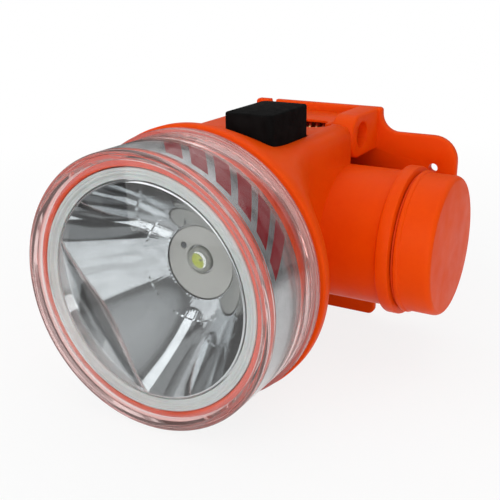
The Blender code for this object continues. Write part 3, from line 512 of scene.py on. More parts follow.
@dataclass(frozen=True)
class Elastomer(Finish):
    """Rubber or silicone: matt, with a fine grain and a little dust.

    Attributes:
        dust: Colour where dust lies.
        grain: Size of the grain in millimetres.
        grain_depth: Height of the grain in millimetres.
        softness: Share of light that spreads under the surface.
    """

    dust: Colour = (0.1, 0.1, 0.1)
    grain: float = 0.25
    grain_depth: float = 0.02
    softness: float = 0.0

    def draw(self, sheet: NodeSheet) -> None:
        """Write a matt surface."""
        patches = sheet.noise(3.5, 5.0)
        sheet.drive("Base Color", sheet.blend(sheet.spread(patches, 0.0, 1.0, 0.35, 0.75), self.colour, self.dust))
        sheet.drive("Roughness", sheet.spread(sheet.noise(1.1, 4.0), self.roughness - 0.08, self.roughness + 0.08))
        sheet.relief(sheet.noise(self.grain, 4.0), self.grain_depth)
        if self.softness:
            sheet.plain(Subsurface_Weight=self.softness, Subsurface_Scale=1.2 * MM)


@dataclass(frozen=True)
class EmitterFace(Finish):
    """The lit face of a white LED: a phosphor disc in a milky ring.

    Attributes:
        phosphor: Colour of the phosphor.
        phosphor_r: Radius of the phosphor in millimetres.
        height: Place of the LED's centre along Z.
    """

    phosphor: Colour = (0.6, 0.68, 0.03)
    phosphor_r: float = 1.55
    height: float = 1.0

    def draw(self, sheet: NodeSheet) -> None:
        """Write the disc, its ring and a small dark bond mark."""
        x, _, z = sheet.axes()
        off = sheet.math("SUBTRACT", z, self.height)
        reach = sheet.reach(x, off)
        chip = sheet.spread(reach, 1.0, 0.0, self.phosphor_r - 0.12, self.phosphor_r + 0.12)
        mark_x = sheet.apart(x, 0.15)
        mark_z = sheet.apart(off, -0.1)
        mark = sheet.times(sheet.below(mark_x, 0.3), sheet.below(mark_z, 0.22))
        ring = sheet.blend(sheet.spread(sheet.noise(0.9, 3.0), 0.0, 1.0), self.colour,
                           self.dulled(0.8))
        face = sheet.blend(chip, ring, self.phosphor)
        sheet.drive("Base Color", sheet.blend(sheet.times(mark, 0.75), face, (0.12, 0.13, 0.04)))
        sheet.drive("Roughness", sheet.spread(sheet.noise(0.6, 2.0), self.roughness - 0.1, self.roughness + 0.1))
        sheet.relief(sheet.noise(0.3, 2.0), 0.01)


@dataclass(frozen=True)
class CircuitBoard(Finish):
    """Solder mask over copper tracks.

    Attributes:
        track: Colour of the mask over copper.
        pitch: From one track to the next.
    """

    track: Colour = (0.03, 0.32, 0.14)
    pitch: float = 2.2

    def draw(self, sheet: NodeSheet) -> None:
        """Write the mask and its tracks."""
        x, _, z = sheet.axes()
        bend = sheet.times(sheet.math("SINE", sheet.times(z, 0.45)), 1.4)
        lane = sheet.math("FRACT", sheet.math("DIVIDE", sheet.plus(sheet.plus(x, bend), 99.0), self.pitch))
        track = sheet.below(lane, 0.34)
        sheet.drive("Base Color", sheet.blend(track, self.colour, self.track))
        sheet.drive("Roughness", sheet.spread(sheet.noise(1.5, 3.0), self.roughness - 0.1, self.roughness + 0.1))
        sheet.relief(track, 0.03)


@dataclass(frozen=True)
class ShrinkSleeve(Finish):
    """Heat-shrunk film round a cell, with a pale band at one end.

    Attributes:
        band: Colour of the band.
        band_x: Where the band ends, along X.
    """

    band: Colour = (0.75, 0.75, 0.72)
    band_x: float = -26.0

    def draw(self, sheet: NodeSheet) -> None:
        """Write the film with its fine wrinkles."""
        x, _, _ = sheet.axes()
        banded = sheet.below(x, self.band_x)
        tone = sheet.blend(sheet.spread(sheet.noise(4.0, 3.0), 0.0, 1.0), self.dulled(0.8), self.colour)
        sheet.drive("Base Color", sheet.blend(banded, tone, self.band))
        sheet.drive("Roughness", sheet.spread(sheet.noise(2.0, 3.0), self.roughness - 0.08, self.roughness + 0.08))
        sheet.relief(sheet.noise(1.6, 4.0, sheet.stretched((0.3, 1.0, 1.0))), 0.05)


class Finishes(Enum):
    """Every finish of the lamp."""

    ORANGE = MouldedPlastic("orange_shell", (0.85, 0.076, 0.0006), 0.42, 0.07, deep=(0.81, 0.064, 0.0005), glow=0.12,
                            glow_reach=2.2)
    # the clear cap's thick rim and flange carry a painted pink glow of the orange neck
    CLEAR = ClearPlastic("clear_cap_plastic", (0.98, 0.985, 0.985), 0.02, index=1.5, haze=0.16)
    DOME = ClearPlastic("led_dome_plastic", (0.97, 0.98, 0.93), 0.03, index=1.42)
    MIRROR = MirrorCoating("reflector_mirror", (0.60, 0.62, 0.63), 0.04)
    FOIL = PrintedFoil("neck_foil", (0.46, 0.46, 0.47), 0.2, ink=(0.27, 0.006, 0.014))
    SILICONE = Elastomer("white_gasket", (0.62, 0.65, 0.64), 0.5, dust=(0.56, 0.59, 0.58), grain_depth=0.01,
                         softness=0.15)
    RUBBER = Elastomer("switch_rubber", (0.0035, 0.0032, 0.0032), 0.72, 0.04, dust=(0.007, 0.007, 0.007), grain=0.22,
                       grain_depth=0.03)
    SEAL = Elastomer("seal_rubber", (0.80, 0.06, 0.002), 0.6, 0.2, dust=(0.72, 0.065, 0.004))
    NYLON = MouldedPlastic("led_holder_nylon", (0.74, 0.75, 0.71), 0.55, deep=(0.69, 0.70, 0.665), grain=0.3,
                           grain_depth=0.01)
    INDICATOR = MouldedPlastic("indicator_lens", (0.16, 0.17, 0.18), 0.35, deep=(0.12, 0.13, 0.14))
    BLACK = MouldedPlastic("black_moulding", (0.02, 0.02, 0.02), 0.45, deep=(0.013, 0.013, 0.013))
    EMITTER = EmitterFace("led_emitter_face", (0.5, 0.52, 0.47), 0.35)
    BRASS = Metal("yellow_plating", (0.98, 0.80, 0.36), 0.34, worn=(0.74, 0.56, 0.24), mark=0.5)
    STEEL = Metal("bright_steel", (0.56, 0.57, 0.58), 0.28, worn=(0.42, 0.42, 0.42), lay=Lay.BRUSHED_X)
    SCREW = Metal("screw_steel", (0.55, 0.55, 0.56), 0.32, worn=(0.40, 0.40, 0.41), lay=Lay.BRUSHED_Y)
    ALUMINIUM = Metal("turned_aluminium", (0.72, 0.73, 0.74), 0.32, worn=(0.60, 0.61, 0.62), lay=Lay.BRUSHED_Y)
    NICKEL = Metal("nickel_strip", (0.64, 0.61, 0.55), 0.3, worn=(0.50, 0.48, 0.43), lay=Lay.BRUSHED_X)
    BOARD = CircuitBoard("green_solder_mask", (0.012, 0.16, 0.07), 0.42)
    CELL = ShrinkSleeve("cell_film", (0.03, 0.16, 0.45), 0.3)
    RED_LEAD = MouldedPlastic("red_insulation", (0.55, 0.02, 0.02), 0.45, deep=(0.42, 0.015, 0.015))
    BLACK_LEAD = MouldedPlastic("black_insulation", (0.02, 0.02, 0.02), 0.45, deep=(0.012, 0.012, 0.012))


# ---------------------------------------------------------------- mesh tools
class Bench:
    """Mesh tools shared by the sub-assemblies. Sizes go in as millimetres."""

    @staticmethod
    def settle(name: str, work: bmesh.types.BMesh, angle: float = 34.0) -> Piece:
        """Close a bmesh and turn it into an object at the origin.

        Args:
            name: The object's name.
            work: The bmesh, which is freed.
            angle: Edges sharper than this stay crisp, in degrees.

        Returns:
            The new object.
        """
        bmesh.ops.remove_doubles(work, verts=work.verts, dist=1e-6)
        bmesh.ops.recalc_face_normals(work, faces=work.faces)
        mesh = bpy.data.meshes.new(name)
        work.to_mesh(mesh)
        work.free()
        piece = bpy.data.objects.new(name, mesh)
        bpy.context.scene.collection.objects.link(piece)
        Bench.shade(piece, angle)
        return piece

    @staticmethod
    def shade(piece: Piece, angle: float = 34.0) -> None:
        """Shade smooth, with edges sharper than the angle left crisp."""
        piece.data.shade_smooth()
        piece.data.set_sharp_from_angle(angle=math.radians(angle))

    @staticmethod
    def turned(name: str, profile: Profile, axis: Axis = Axis.Y, centre: Place = BEAM, steps: int = 160) -> Piece:
        """Spin a closed profile about an axis.

        Args:
            name: The object's name.
            profile: Points as (along, radius); it starts and ends on the axis or is a ring.
            axis: The axis to spin about.
            centre: A point on the axis.
            steps: Sides of the turned shape.

        Returns:
            The new object.
        """
        work = bmesh.new()
        middle = Vector(centre)
        points = [work.verts.new((middle + axis.along * a + axis.out * r) * MM) for a, r in profile]
        edges = [work.edges.new(pair) for pair in zip(points, points[1:])]
        if min(profile[0][1], profile[-1][1]) > 0:
            edges.append(work.edges.new((points[-1], points[0])))
        bmesh.ops.spin(work, geom=points + edges, cent=middle * MM, axis=axis.along, angle=2 * math.pi,
                       steps=steps, use_merge=True)
        bmesh.ops.dissolve_degenerate(work, dist=1e-7, edges=work.edges)
        return Bench.settle(name, work)

    @staticmethod
    def rod(name: str, start: float, end: float, radius: float, axis: Axis = Axis.X, centre: Place = BEAM,
            steps: int = 64, chamfer: float = 0.0) -> Piece:
        """Turn a plain rod, with chamfered ends if asked.

        Args:
            name: The object's name.
            start: Lower end along the axis.
            end: Upper end along the axis.
            radius: The rod's radius.
            axis: The rod's direction.
            centre: A point on the rod's axis.
            steps: Sides of the rod.
            chamfer: Size of the chamfer at both ends.

        Returns:
            The new object.
        """
        profile = [(start, 0), (start, radius - chamfer), (start + chamfer, radius), (end - chamfer, radius),
                   (end, radius - chamfer), (end, 0)]
        if not chamfer:
            profile = [(start, 0), (start, radius), (end, radius), (end, 0)]
        return Bench.turned(name, profile, axis, centre, steps)

    @staticmethod
    def washer(name: str, start: float, end: float, inner: float, outer: float, axis: Axis = Axis.Y,
               centre: Place = BEAM, steps: int = 160, edge: float = 0.08) -> Piece:
        """Turn a flat ring with broken edges.

        Args:
            name: The object's name.
            start: Lower face along the axis.
            end: Upper face along the axis.
            inner: Inner radius.
            outer: Outer radius.
            axis: The ring's axis.
            centre: A point on the axis.
            steps: Sides of the ring.
            edge: Size of the broken edges.

        Returns:
            The new object.
        """
        profile = [(start, inner + edge), (start, outer - edge), (start + edge, outer), (end - edge, outer),
                   (end, outer - edge), (end, inner + edge), (end - edge, inner), (start + edge, inner)]
        return Bench.turned(name, profile, axis, centre, steps)

    @staticmethod
    def lofted(name: str, rings: list[list[Place]]) -> Piece:
        """Bridge a row of closed rings of equal length and cap both ends.

        Args:
            name: The object's name.
            rings: The rings, each a list of points.

        Returns:
            The new object.
        """
        work = bmesh.new()
        loops = []
        for ring in rings:
            points = [work.verts.new(Vector(p) * MM) for p in ring]
            loops.append([work.edges.new(pair) for pair in zip(points, points[1:] + points[:1])])
            if len(loops) in (1, len(rings)):
                work.faces.new(points)
        for near, far in zip(loops, loops[1:]):
            bmesh.ops.bridge_loops(work, edges=near + far)
        return Bench.settle(name, work)

    @staticmethod
    def extruded(name: str, outline: Profile, axis: Axis, start: float, end: float,
                 rounding: float = 0.0) -> Piece:
        """Extrude an outline along an axis, with its two rims rounded if asked.

        Args:
            name: The object's name.
            outline: Closed outline of 2-D points.
            axis: The direction to extrude.
            start: Lower end.
            end: Upper end.
            rounding: Radius of the rounded rims.

        Returns:
            The new object.
        """
        piece = Bench.lofted(name, [[axis.point(a, b, c) for a, b in outline] for c in (start, end)])
        if rounding:
            work = bmesh.new()
            work.from_mesh(piece.data)
            rims = [e for e in work.edges if abs((e.verts[0].co - e.verts[1].co).dot(axis.along)) < 1e-7]
            bmesh.ops.bevel(work, geom=rims, offset=rounding * MM, offset_type="OFFSET", affect="EDGES",
                            segments=RIM_STEPS, profile=0.5, material=-1, clamp_overlap=True)
            work.to_mesh(piece.data)
            work.free()
            Bench.shade(piece)
        return piece

    @staticmethod
    def apply(piece: Piece, step: bpy.types.Modifier) -> None:
        """Put a modifier's result in the place of a piece's mesh.

        Args:
            piece: The piece that carries the modifier.
            step: The modifier, which is removed.
        """
        bpy.context.view_layer.update()
        graph = bpy.context.evaluated_depsgraph_get()
        result = bpy.data.meshes.new_from_object(piece.evaluated_get(graph))
        piece.modifiers.remove(step)
        old = piece.data
        piece.data = result
        result.name = piece.name
        bpy.data.meshes.remove(old)

    @staticmethod
    def combine(target: Piece, tool: Piece, operation: str) -> Piece:
        """Apply a Boolean of two objects to the first and remove the second.

        Args:
            target: The object that stays.
            tool: The object that is used up.
            operation: UNION or DIFFERENCE.

        Returns:
            The first object.
        """
        step = target.modifiers.new("boolean", "BOOLEAN")
        step.operation = operation
        step.solver = "EXACT"
        step.object = tool
        Bench.apply(target, step)
        bpy.data.objects.remove(tool)
        return target

    @staticmethod
    def join(target: Piece, *tools: Piece) -> Piece:
        """Add tools to a piece."""
        for tool in tools:
            Bench.combine(target, tool, "UNION")
        return target

    @staticmethod
    def cut(target: Piece, *tools: Piece) -> Piece:
        """Take tools out of a piece."""
        for tool in tools:
            Bench.combine(target, tool, "DIFFERENCE")
        return target

    @staticmethod
    def soften(piece: Piece, width: float, angle: float = 40.0) -> Piece:
        """Round the sharp edges of a finished piece.

        Args:
            piece: The piece.
            width: Width of the rounding.
            angle: Only edges sharper than this are rounded, in degrees.

        Returns:
            The piece.
        """
        work = bmesh.new()
        work.from_mesh(piece.data)
        bmesh.ops.remove_doubles(work, verts=work.verts, dist=0.02 * MM)
        bmesh.ops.dissolve_limit(work, angle_limit=math.radians(0.4), verts=work.verts, edges=work.edges)
        work.to_mesh(piece.data)
        work.free()
        step = piece.modifiers.new("soft_edges", "BEVEL")
        step.width = width * MM
        step.segments = EDGE_STEPS
        step.limit_method = "ANGLE"
        step.angle_limit = math.radians(angle)
        step.use_clamp_overlap = True
        Bench.apply(piece, step)
        Bench.shade(piece)
        return piece

    @staticmethod
    def steps(offsets: Profile, along: float, radius: float) -> Profile:
        """Place steps of a profile, given from one edge of it.

        Args:
            offsets: Steps as (along, radius) from the edge.
            along: Place of the edge along the axis.
            radius: Radius of the edge.

        Returns:
            The points of the profile.
        """
        return [(along + a, radius + r) for a, r in offsets]

    @staticmethod
    def arc(centre: tuple[float, float], radius: float, start: float, end: float, count: int = 10) -> Profile:
        """Points on an arc.

        Args:
            centre: The arc's centre.
            radius: Its radius.
            start: First angle in degrees.
            end: Last angle in degrees.
            count: Steps along the arc.

        Returns:
            The points in order.
        """
        turns = [math.radians(start + (end - start) * i / count) for i in range(count + 1)]
        return [(centre[0] + radius * math.cos(t), centre[1] + radius * math.sin(t)) for t in turns]

    @staticmethod
    def dress(piece: Piece, body: Body, slot: str, finish: Finishes, *nodes: str) -> Piece:
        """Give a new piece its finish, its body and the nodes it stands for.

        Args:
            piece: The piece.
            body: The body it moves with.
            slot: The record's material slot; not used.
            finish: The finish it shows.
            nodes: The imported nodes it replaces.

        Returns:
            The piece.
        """
        piece.data.materials.clear()
        piece.data.materials.append(finish.value.paint())
        for face in piece.data.polygons:
            face.material_index = 0
        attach(piece, body.value)
        if nodes:
            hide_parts(*nodes)
        LOG.info("%s: %d faces, rides on %s", piece.name, len(piece.data.polygons), body.value)
        return piece


# ---------------------------------------------------------------- bracket
@dataclass
class Bracket:
    """The fixed plate with its two tabs and the ears that carry the lamp.

    Attributes:
        thick: Thickness of the plate.
        right: Half width of its middle on the right.
        left: Half width of its middle on the left.
        notch: Right end, width and depth of the small notch in its top.
        foot_half: Half width at its foot.
        top: Top of the plate.
        bottom: Bottom of the plate.
        corner: Radius of the plate's top corners.
        foot_corner: Radius of its bottom corners.
        tab_right: Reach of the right tab.
        tab_left: Reach of the left tab.
        tab_half: Half height of the tabs.
        tab_corner: Radius of the tabs' corners.
        fillet: Radius where a tab meets the middle.
        hole_in: From a tab's end to its holes.
        hole_drop: From a tab's top and bottom to its holes.
        hole_r: Radius of the screw holes.
        ear_x: Inner and outer face of the right ear.
        left_ear_x: Outer and inner face of the left ear.
        left_ear_r: Radius of the left ear about the hinge.
        bore_r: Radius of the ears' bores.
        ear_r: Radius of the right ear's corners.
        ear_place: Centre of its lower corner, along Y and Z.
        root: Where the ears start inside the plate.
        rim: Rounding of the outer edges.
    """

    thick: float = 3.0
    right: float = 23.0
    left: float = 20.5
    notch: tuple[float, float, float] = (-13.3, 2.4, 1.1)
    foot_half: float = 23.4
    top: float = 32.3
    bottom: float = -36.0
    corner: float = 1.0
    foot_corner: float = 2.0
    tab_right: float = 47.0
    tab_left: float = 37.0
    tab_half: float = 25.2
    tab_corner: float = 7.5
    fillet: float = 5.5
    hole_in: float = 6.8
    hole_drop: float = 9.6
    hole_r: float = 1.4
    ear_x: tuple[float, float] = (15.0, 22.0)
    left_ear_x: tuple[float, float] = (-19.2, -15.0)
    left_ear_r: float = 4.9
    bore_r: float = 3.9
    ear_r: float = 6.0
    ear_place: tuple[float, float] = (-16.8, 25.7)
    root: float = -1.5
    rim: float = 0.7

    def outline(self) -> Profile:
        """Trace the plate from in front, clockwise from the top."""
        def side(reach: float, half: float) -> Profile:
            """Trace one side of the plate down to its foot."""
            return [
                *Bench.arc((half - self.corner, self.top - self.corner), self.corner, 90, 0, 6),
                *Bench.arc((half + self.fillet, self.tab_half + self.fillet), self.fillet, 180, 270),
                *Bench.arc((reach - self.tab_corner, self.tab_half - self.tab_corner), self.tab_corner, 90, 0),
                *Bench.arc((reach - self.tab_corner, self.tab_corner - self.tab_half), self.tab_corner, 0, -90),
                *Bench.arc((self.foot_half + self.fillet, -self.tab_half - self.fillet), self.fillet, 90, 180),
                *Bench.arc((self.foot_half - self.foot_corner, self.bottom + self.foot_corner), self.foot_corner,
                           0, -90, 6),
            ]
        end, wide, deep = self.notch
        notch = [(end - wide, self.top), (end - wide + 0.3, self.top - deep), (end - 0.3, self.top - deep),
                 (end, self.top)]
        left = [(-x, z) for x, z in reversed(side(self.tab_left, self.left))]
        return side(self.tab_right, self.right) + left + notch

    def left_ear(self) -> Profile:
        """Trace the left ear from the side: a round boss on an arm."""
        _, y, z = HINGE
        return [(self.root, z + self.left_ear_r), *Bench.arc((y, z), self.left_ear_r, 90, 270, 24),
                (self.root, z - self.left_ear_r)]

    def ear(self) -> Profile:
        """Trace the right ear from the side."""
        y, z = self.ear_place
        return [
            (self.root, self.top),
            *Bench.arc((y, self.top - self.ear_r), self.ear_r, 90, 180, 14),
            *Bench.arc((y, z), self.ear_r, 180, 270, 14),
            (self.root, z - self.ear_r),
        ]

    def build(self) -> None:
        """Build the bracket with soft edges, bores and screw holes."""
        plate = Bench.extruded("bracket_plate", self.outline(), Axis.Y, -self.thick, 0.0, self.rim)
        Bench.join(plate, Bench.extruded("right_ear", self.ear(), Axis.X, *self.ear_x, 0.8),
                   Bench.extruded("left_ear", self.left_ear(), Axis.X, *self.left_ear_x, 0.6))
        Bench.cut(plate, Bench.rod("bore", -self.right, self.right, self.bore_r, Axis.X, HINGE, 64))
        for x in (self.tab_right - self.hole_in, self.hole_in - self.tab_left):
            for z in (self.tab_half - self.hole_drop, self.hole_drop - self.tab_half):
                Bench.cut(plate, Bench.rod("hole", -self.thick - 1, 1, self.hole_r, Axis.Y, (x, 0, z), 32))
        Bench.soften(plate, 0.25)
        Bench.dress(plate, Body.BRACKET, "orange_abs", Finishes.ORANGE, "mount_bracket")


# ---------------------------------------------------------------- housing
@dataclass
class Housing:
    """The lamp's shell: head ring and neck, square block, battery barrel and hinge lug.

    Attributes:
        ring_y: Front and rear of the painted ring behind the clear cap.
        ring_r: Radius of that ring.
        neck_y: Front of the neck.
        neck_r: Outside of the neck.
        neck_bore: Inside of the neck.
        ledge_y: Place of the ledge that carries the reflector.
        ledge_r: Radius of the ledge.
        square_y: Where the block is fully square.
        rear_y: Rear of the block.
        half: Half width of the block.
        low: Bottom of the block.
        high: Top of the block.
        corner: Corner radius of the block.
        wall: Wall of the block.
        cavity_y: Rear of the space inside.
        barrel_r: Outside of the barrel.
        barrel_x: Left end of the barrel and right end of its collar.
        collar_x: Left end of the collar.
        collar_r: Radius of the collar.
        bore_r: Inside of the barrel.
        lug_half: Half width of the hinge lug.
        lug_r: Radius of the lug about the hinge.
        lug_top: Top of the lug.
        opening_x: Left side, right side and right end at the front of the opening over the spring.
        opening_y: Front and rear of that opening.
        opening_r: Radius of its front corners and of its rear one.
        room_y: Front and rear of the room round the spring.
        room_floor: Floor of the opening and the room.
        roof: Thickness of the roof over the room.
        trunnion_x: Ends of the trunnions.
        trunnion_r: Their radius.
        pin_x: Ends of the pin's bore.
        pin_r: Radius of that bore.
        lead_x: The lead holes' distance from the middle.
        sides: Points round the block.
    """

    ring_y: tuple[float, float] = (-71.8, -69.2)
    ring_r: float = 36.7
    neck_y: float = -93.4
    neck_r: float = 32.41
    neck_bore: float = 30.91
    ledge_y: float = -90.2
    ledge_r: float = 29.81
    square_y: float = -47.0
    rear_y: float = -23.3
    half: float = 22.0
    low: float = -19.0
    high: float = 30.3
    corner: float = 2.5
    wall: float = 2.4
    cavity_y: float = -45.0
    barrel_r: float = 19.4
    barrel_x: tuple[float, float] = (-38.5, 42.6)
    collar_x: float = 39.0
    collar_r: float = 21.1
    bore_r: float = 17.0
    lug_half: float = 14.7
    lug_r: float = 12.0
    lug_top: float = 30.0
    opening_x: tuple[float, float, float] = (-2.0, 13.5, 16.5)
    opening_y: tuple[float, float] = (-31.3, -18.4)
    opening_r: tuple[float, float] = (5.5, 3.0)
    room_y: tuple[float, float] = (-20.3, -11.9)
    room_floor: float = 22.0
    roof: float = 0.7
    trunnion_x: tuple[float, float] = (-17.6, 19.4)
    trunnion_r: float = 3.6
    pin_x: tuple[float, float] = (-18.6, 17.5)
    pin_r: float = 1.65
    lead_x: float = 17.0
    sides: int = 240

    def ring(self, y: float, share: float, radius: float, half: float, low: float, high: float) -> list[Place]:
        """Blend a circle into a round-cornered rectangle.

        Args:
            y: Place of the ring.
            share: 0 for the circle, 1 for the rectangle.
            radius: The circle's radius.
            half: Half width of the rectangle.
            low: Its bottom.
            high: Its top.

        Returns:
            The ring's points.
        """
        middle, tall = (low + high) / 2, (high - low) / 2
        power = 2 + 1.2 * half / self.corner
        ring = []
        for i in range(self.sides):
            turn = 2 * math.pi * (i + 0.5) / self.sides
            c, s = math.cos(turn), math.sin(turn)
            square = (abs(c / half) ** power + abs(s / tall) ** power) ** (-1 / power)
            r = radius + (square - radius) * share
            ring.append((r * c, y, middle * share + r * s))
        return ring

    def blended(self, name: str, front: float, start: float, square: float, rear: float, radius: float,
                inset: float, edge: float = 0.0) -> Piece:
        """Run from a circle to the square block.

        Args:
            name: The object's name.
            front: Front end.
            start: Where the circle starts to change.
            square: Where it is square.
            rear: Rear end.
            radius: The circle's radius.
            inset: How far inside the block's outline it stays.
            edge: Rounding at the front.

        Returns:
            The new object.
        """
        size = (self.half - inset, self.low + inset, self.high - inset)
        rings = [self.ring(front, 0, radius - edge, *size)]
        if edge:
            rings += [self.ring(front + edge * 0.3, 0, radius - edge * 0.3, *size),
                      self.ring(front + edge, 0, radius, *size)]
        for i in range(21):
            t = i / 20
            share = math.sin(t * math.pi / 2) ** 1.25
            rings.append(self.ring(start + (square - start) * t, share, radius, *size))
        rings.append(self.ring(rear, 1, radius, *size))
        return Bench.lofted(name, rings)

    def barrel(self) -> Piece:
        """Turn the barrel with its collar."""
        left, right = self.barrel_x
        edge = [(left + 1.5 * (1 - math.sin(a)), self.barrel_r - 1.5 * (1 - math.cos(a)))
                for a in [math.radians(d) for d in range(90, -1, -10)]]
        profile = [
            (left, 0), *edge, (self.collar_x - 1.0, self.barrel_r), (self.collar_x - 0.55, self.barrel_r + 0.12),
            (self.collar_x - 0.15, self.barrel_r + 0.6), (self.collar_x, self.collar_r - 0.5),
            (self.collar_x + 0.15, self.collar_r - 0.15), (self.collar_x + 0.5, self.collar_r),
            (right - 0.5, self.collar_r), (right - 0.15, self.collar_r - 0.15), (right, self.collar_r - 0.5),
            (right, 0),
        ]
        return Bench.turned("barrel", profile, Axis.X, BARREL, 192)

    def lug(self) -> Piece:
        """Extrude the lug that turns between the ears."""
        top = math.degrees(math.asin((self.lug_top - HINGE[2]) / self.lug_r))
        inside = self.rear_y - 3.0
        low = BARREL[2] + self.barrel_r * 0.6
        outline = [(inside, self.lug_top), *Bench.arc((HINGE[1], HINGE[2]), self.lug_r, top, -75, 24),
                   (HINGE[1], low), (inside, low)]
        return Bench.extruded("lug", outline, Axis.X, -self.lug_half, self.lug_half, 0.5)

    def opening(self) -> Piece:
        """The opening over the hinge spring, wider at its round front end."""
        left, right, end = self.opening_x
        front, rear = self.opening_y
        r, small = self.opening_r
        outline = [(left, rear), *Bench.arc((left + r, front + r), r, 180, 270, 14),
                   *Bench.arc((end - r, front + r), r, 270, 380, 20), (right, self.rear_y + 0.5),
                   *Bench.arc((right - small, rear - small), small, 0, 90, 8)]
        return Bench.extruded("opening", outline, Axis.Z, self.room_floor, self.lug_top + 2)

    def spring_room(self) -> Piece:
        """The room round the hinge spring, under a thin roof."""
        left, right, _ = self.opening_x
        front, rear = self.room_y
        outline = [(left, front), (right, front), (right, rear), (left, rear)]
        return Bench.extruded("spring_room", outline, Axis.Z, self.room_floor, self.lug_top - self.roof)

    def build(self) -> None:
        """Build the shell, hollow it and open its holes."""
        shell = self.blended("lamp_shell", self.ring_y[0], self.ring_y[1], self.square_y, self.rear_y, self.ring_r,
                             0.0, 0.5)
        neck = [(self.neck_y, 0), (self.neck_y, self.neck_r - 0.3), (self.neck_y + 0.3, self.neck_r),
                (self.ring_y[0] + 1, self.neck_r), (self.ring_y[0] + 1, 0)]
        Bench.join(shell, Bench.turned("neck", neck, steps=self.sides), self.barrel(), self.lug(),
                   Bench.rod("trunnions", *self.trunnion_x, self.trunnion_r, Axis.X, HINGE, 64, 0.3))
        button = Button()
        Bench.cut(
            shell,
            Bench.rod("mouth", self.neck_y - 1, self.ledge_y, self.neck_bore, Axis.Y, BEAM, 160),
            self.blended("cavity", self.ledge_y - 1, self.ring_y[1], self.square_y - self.wall, self.cavity_y,
                         self.ledge_r, self.wall),
            Bench.rod("bore", self.barrel_x[0] + self.wall, self.barrel_x[1] + 1, self.bore_r, Axis.X, BARREL, 96),
            self.opening(),
            self.spring_room(),
            Bench.rod("pin_bore", *self.pin_x, self.pin_r, Axis.X, HINGE, 48),
            button.prism("button_well", 0.35, button.foot, 38.0),
            button.prism("button_chamber", 1.35, 21.3, button.foot + 0.3),
        )
        for x in (-self.lead_x, self.lead_x):
            hole = Bench.rod("lead_hole", self.cavity_y - 1, BARREL[1], 1.0, Axis.Y, (x, 0, BARREL[2]), 24)
            Bench.cut(shell, hole)
        Bench.soften(shell, 0.3)
        Bench.dress(shell, Body.LAMP, "orange_abs", Finishes.ORANGE, "lamp_housing")


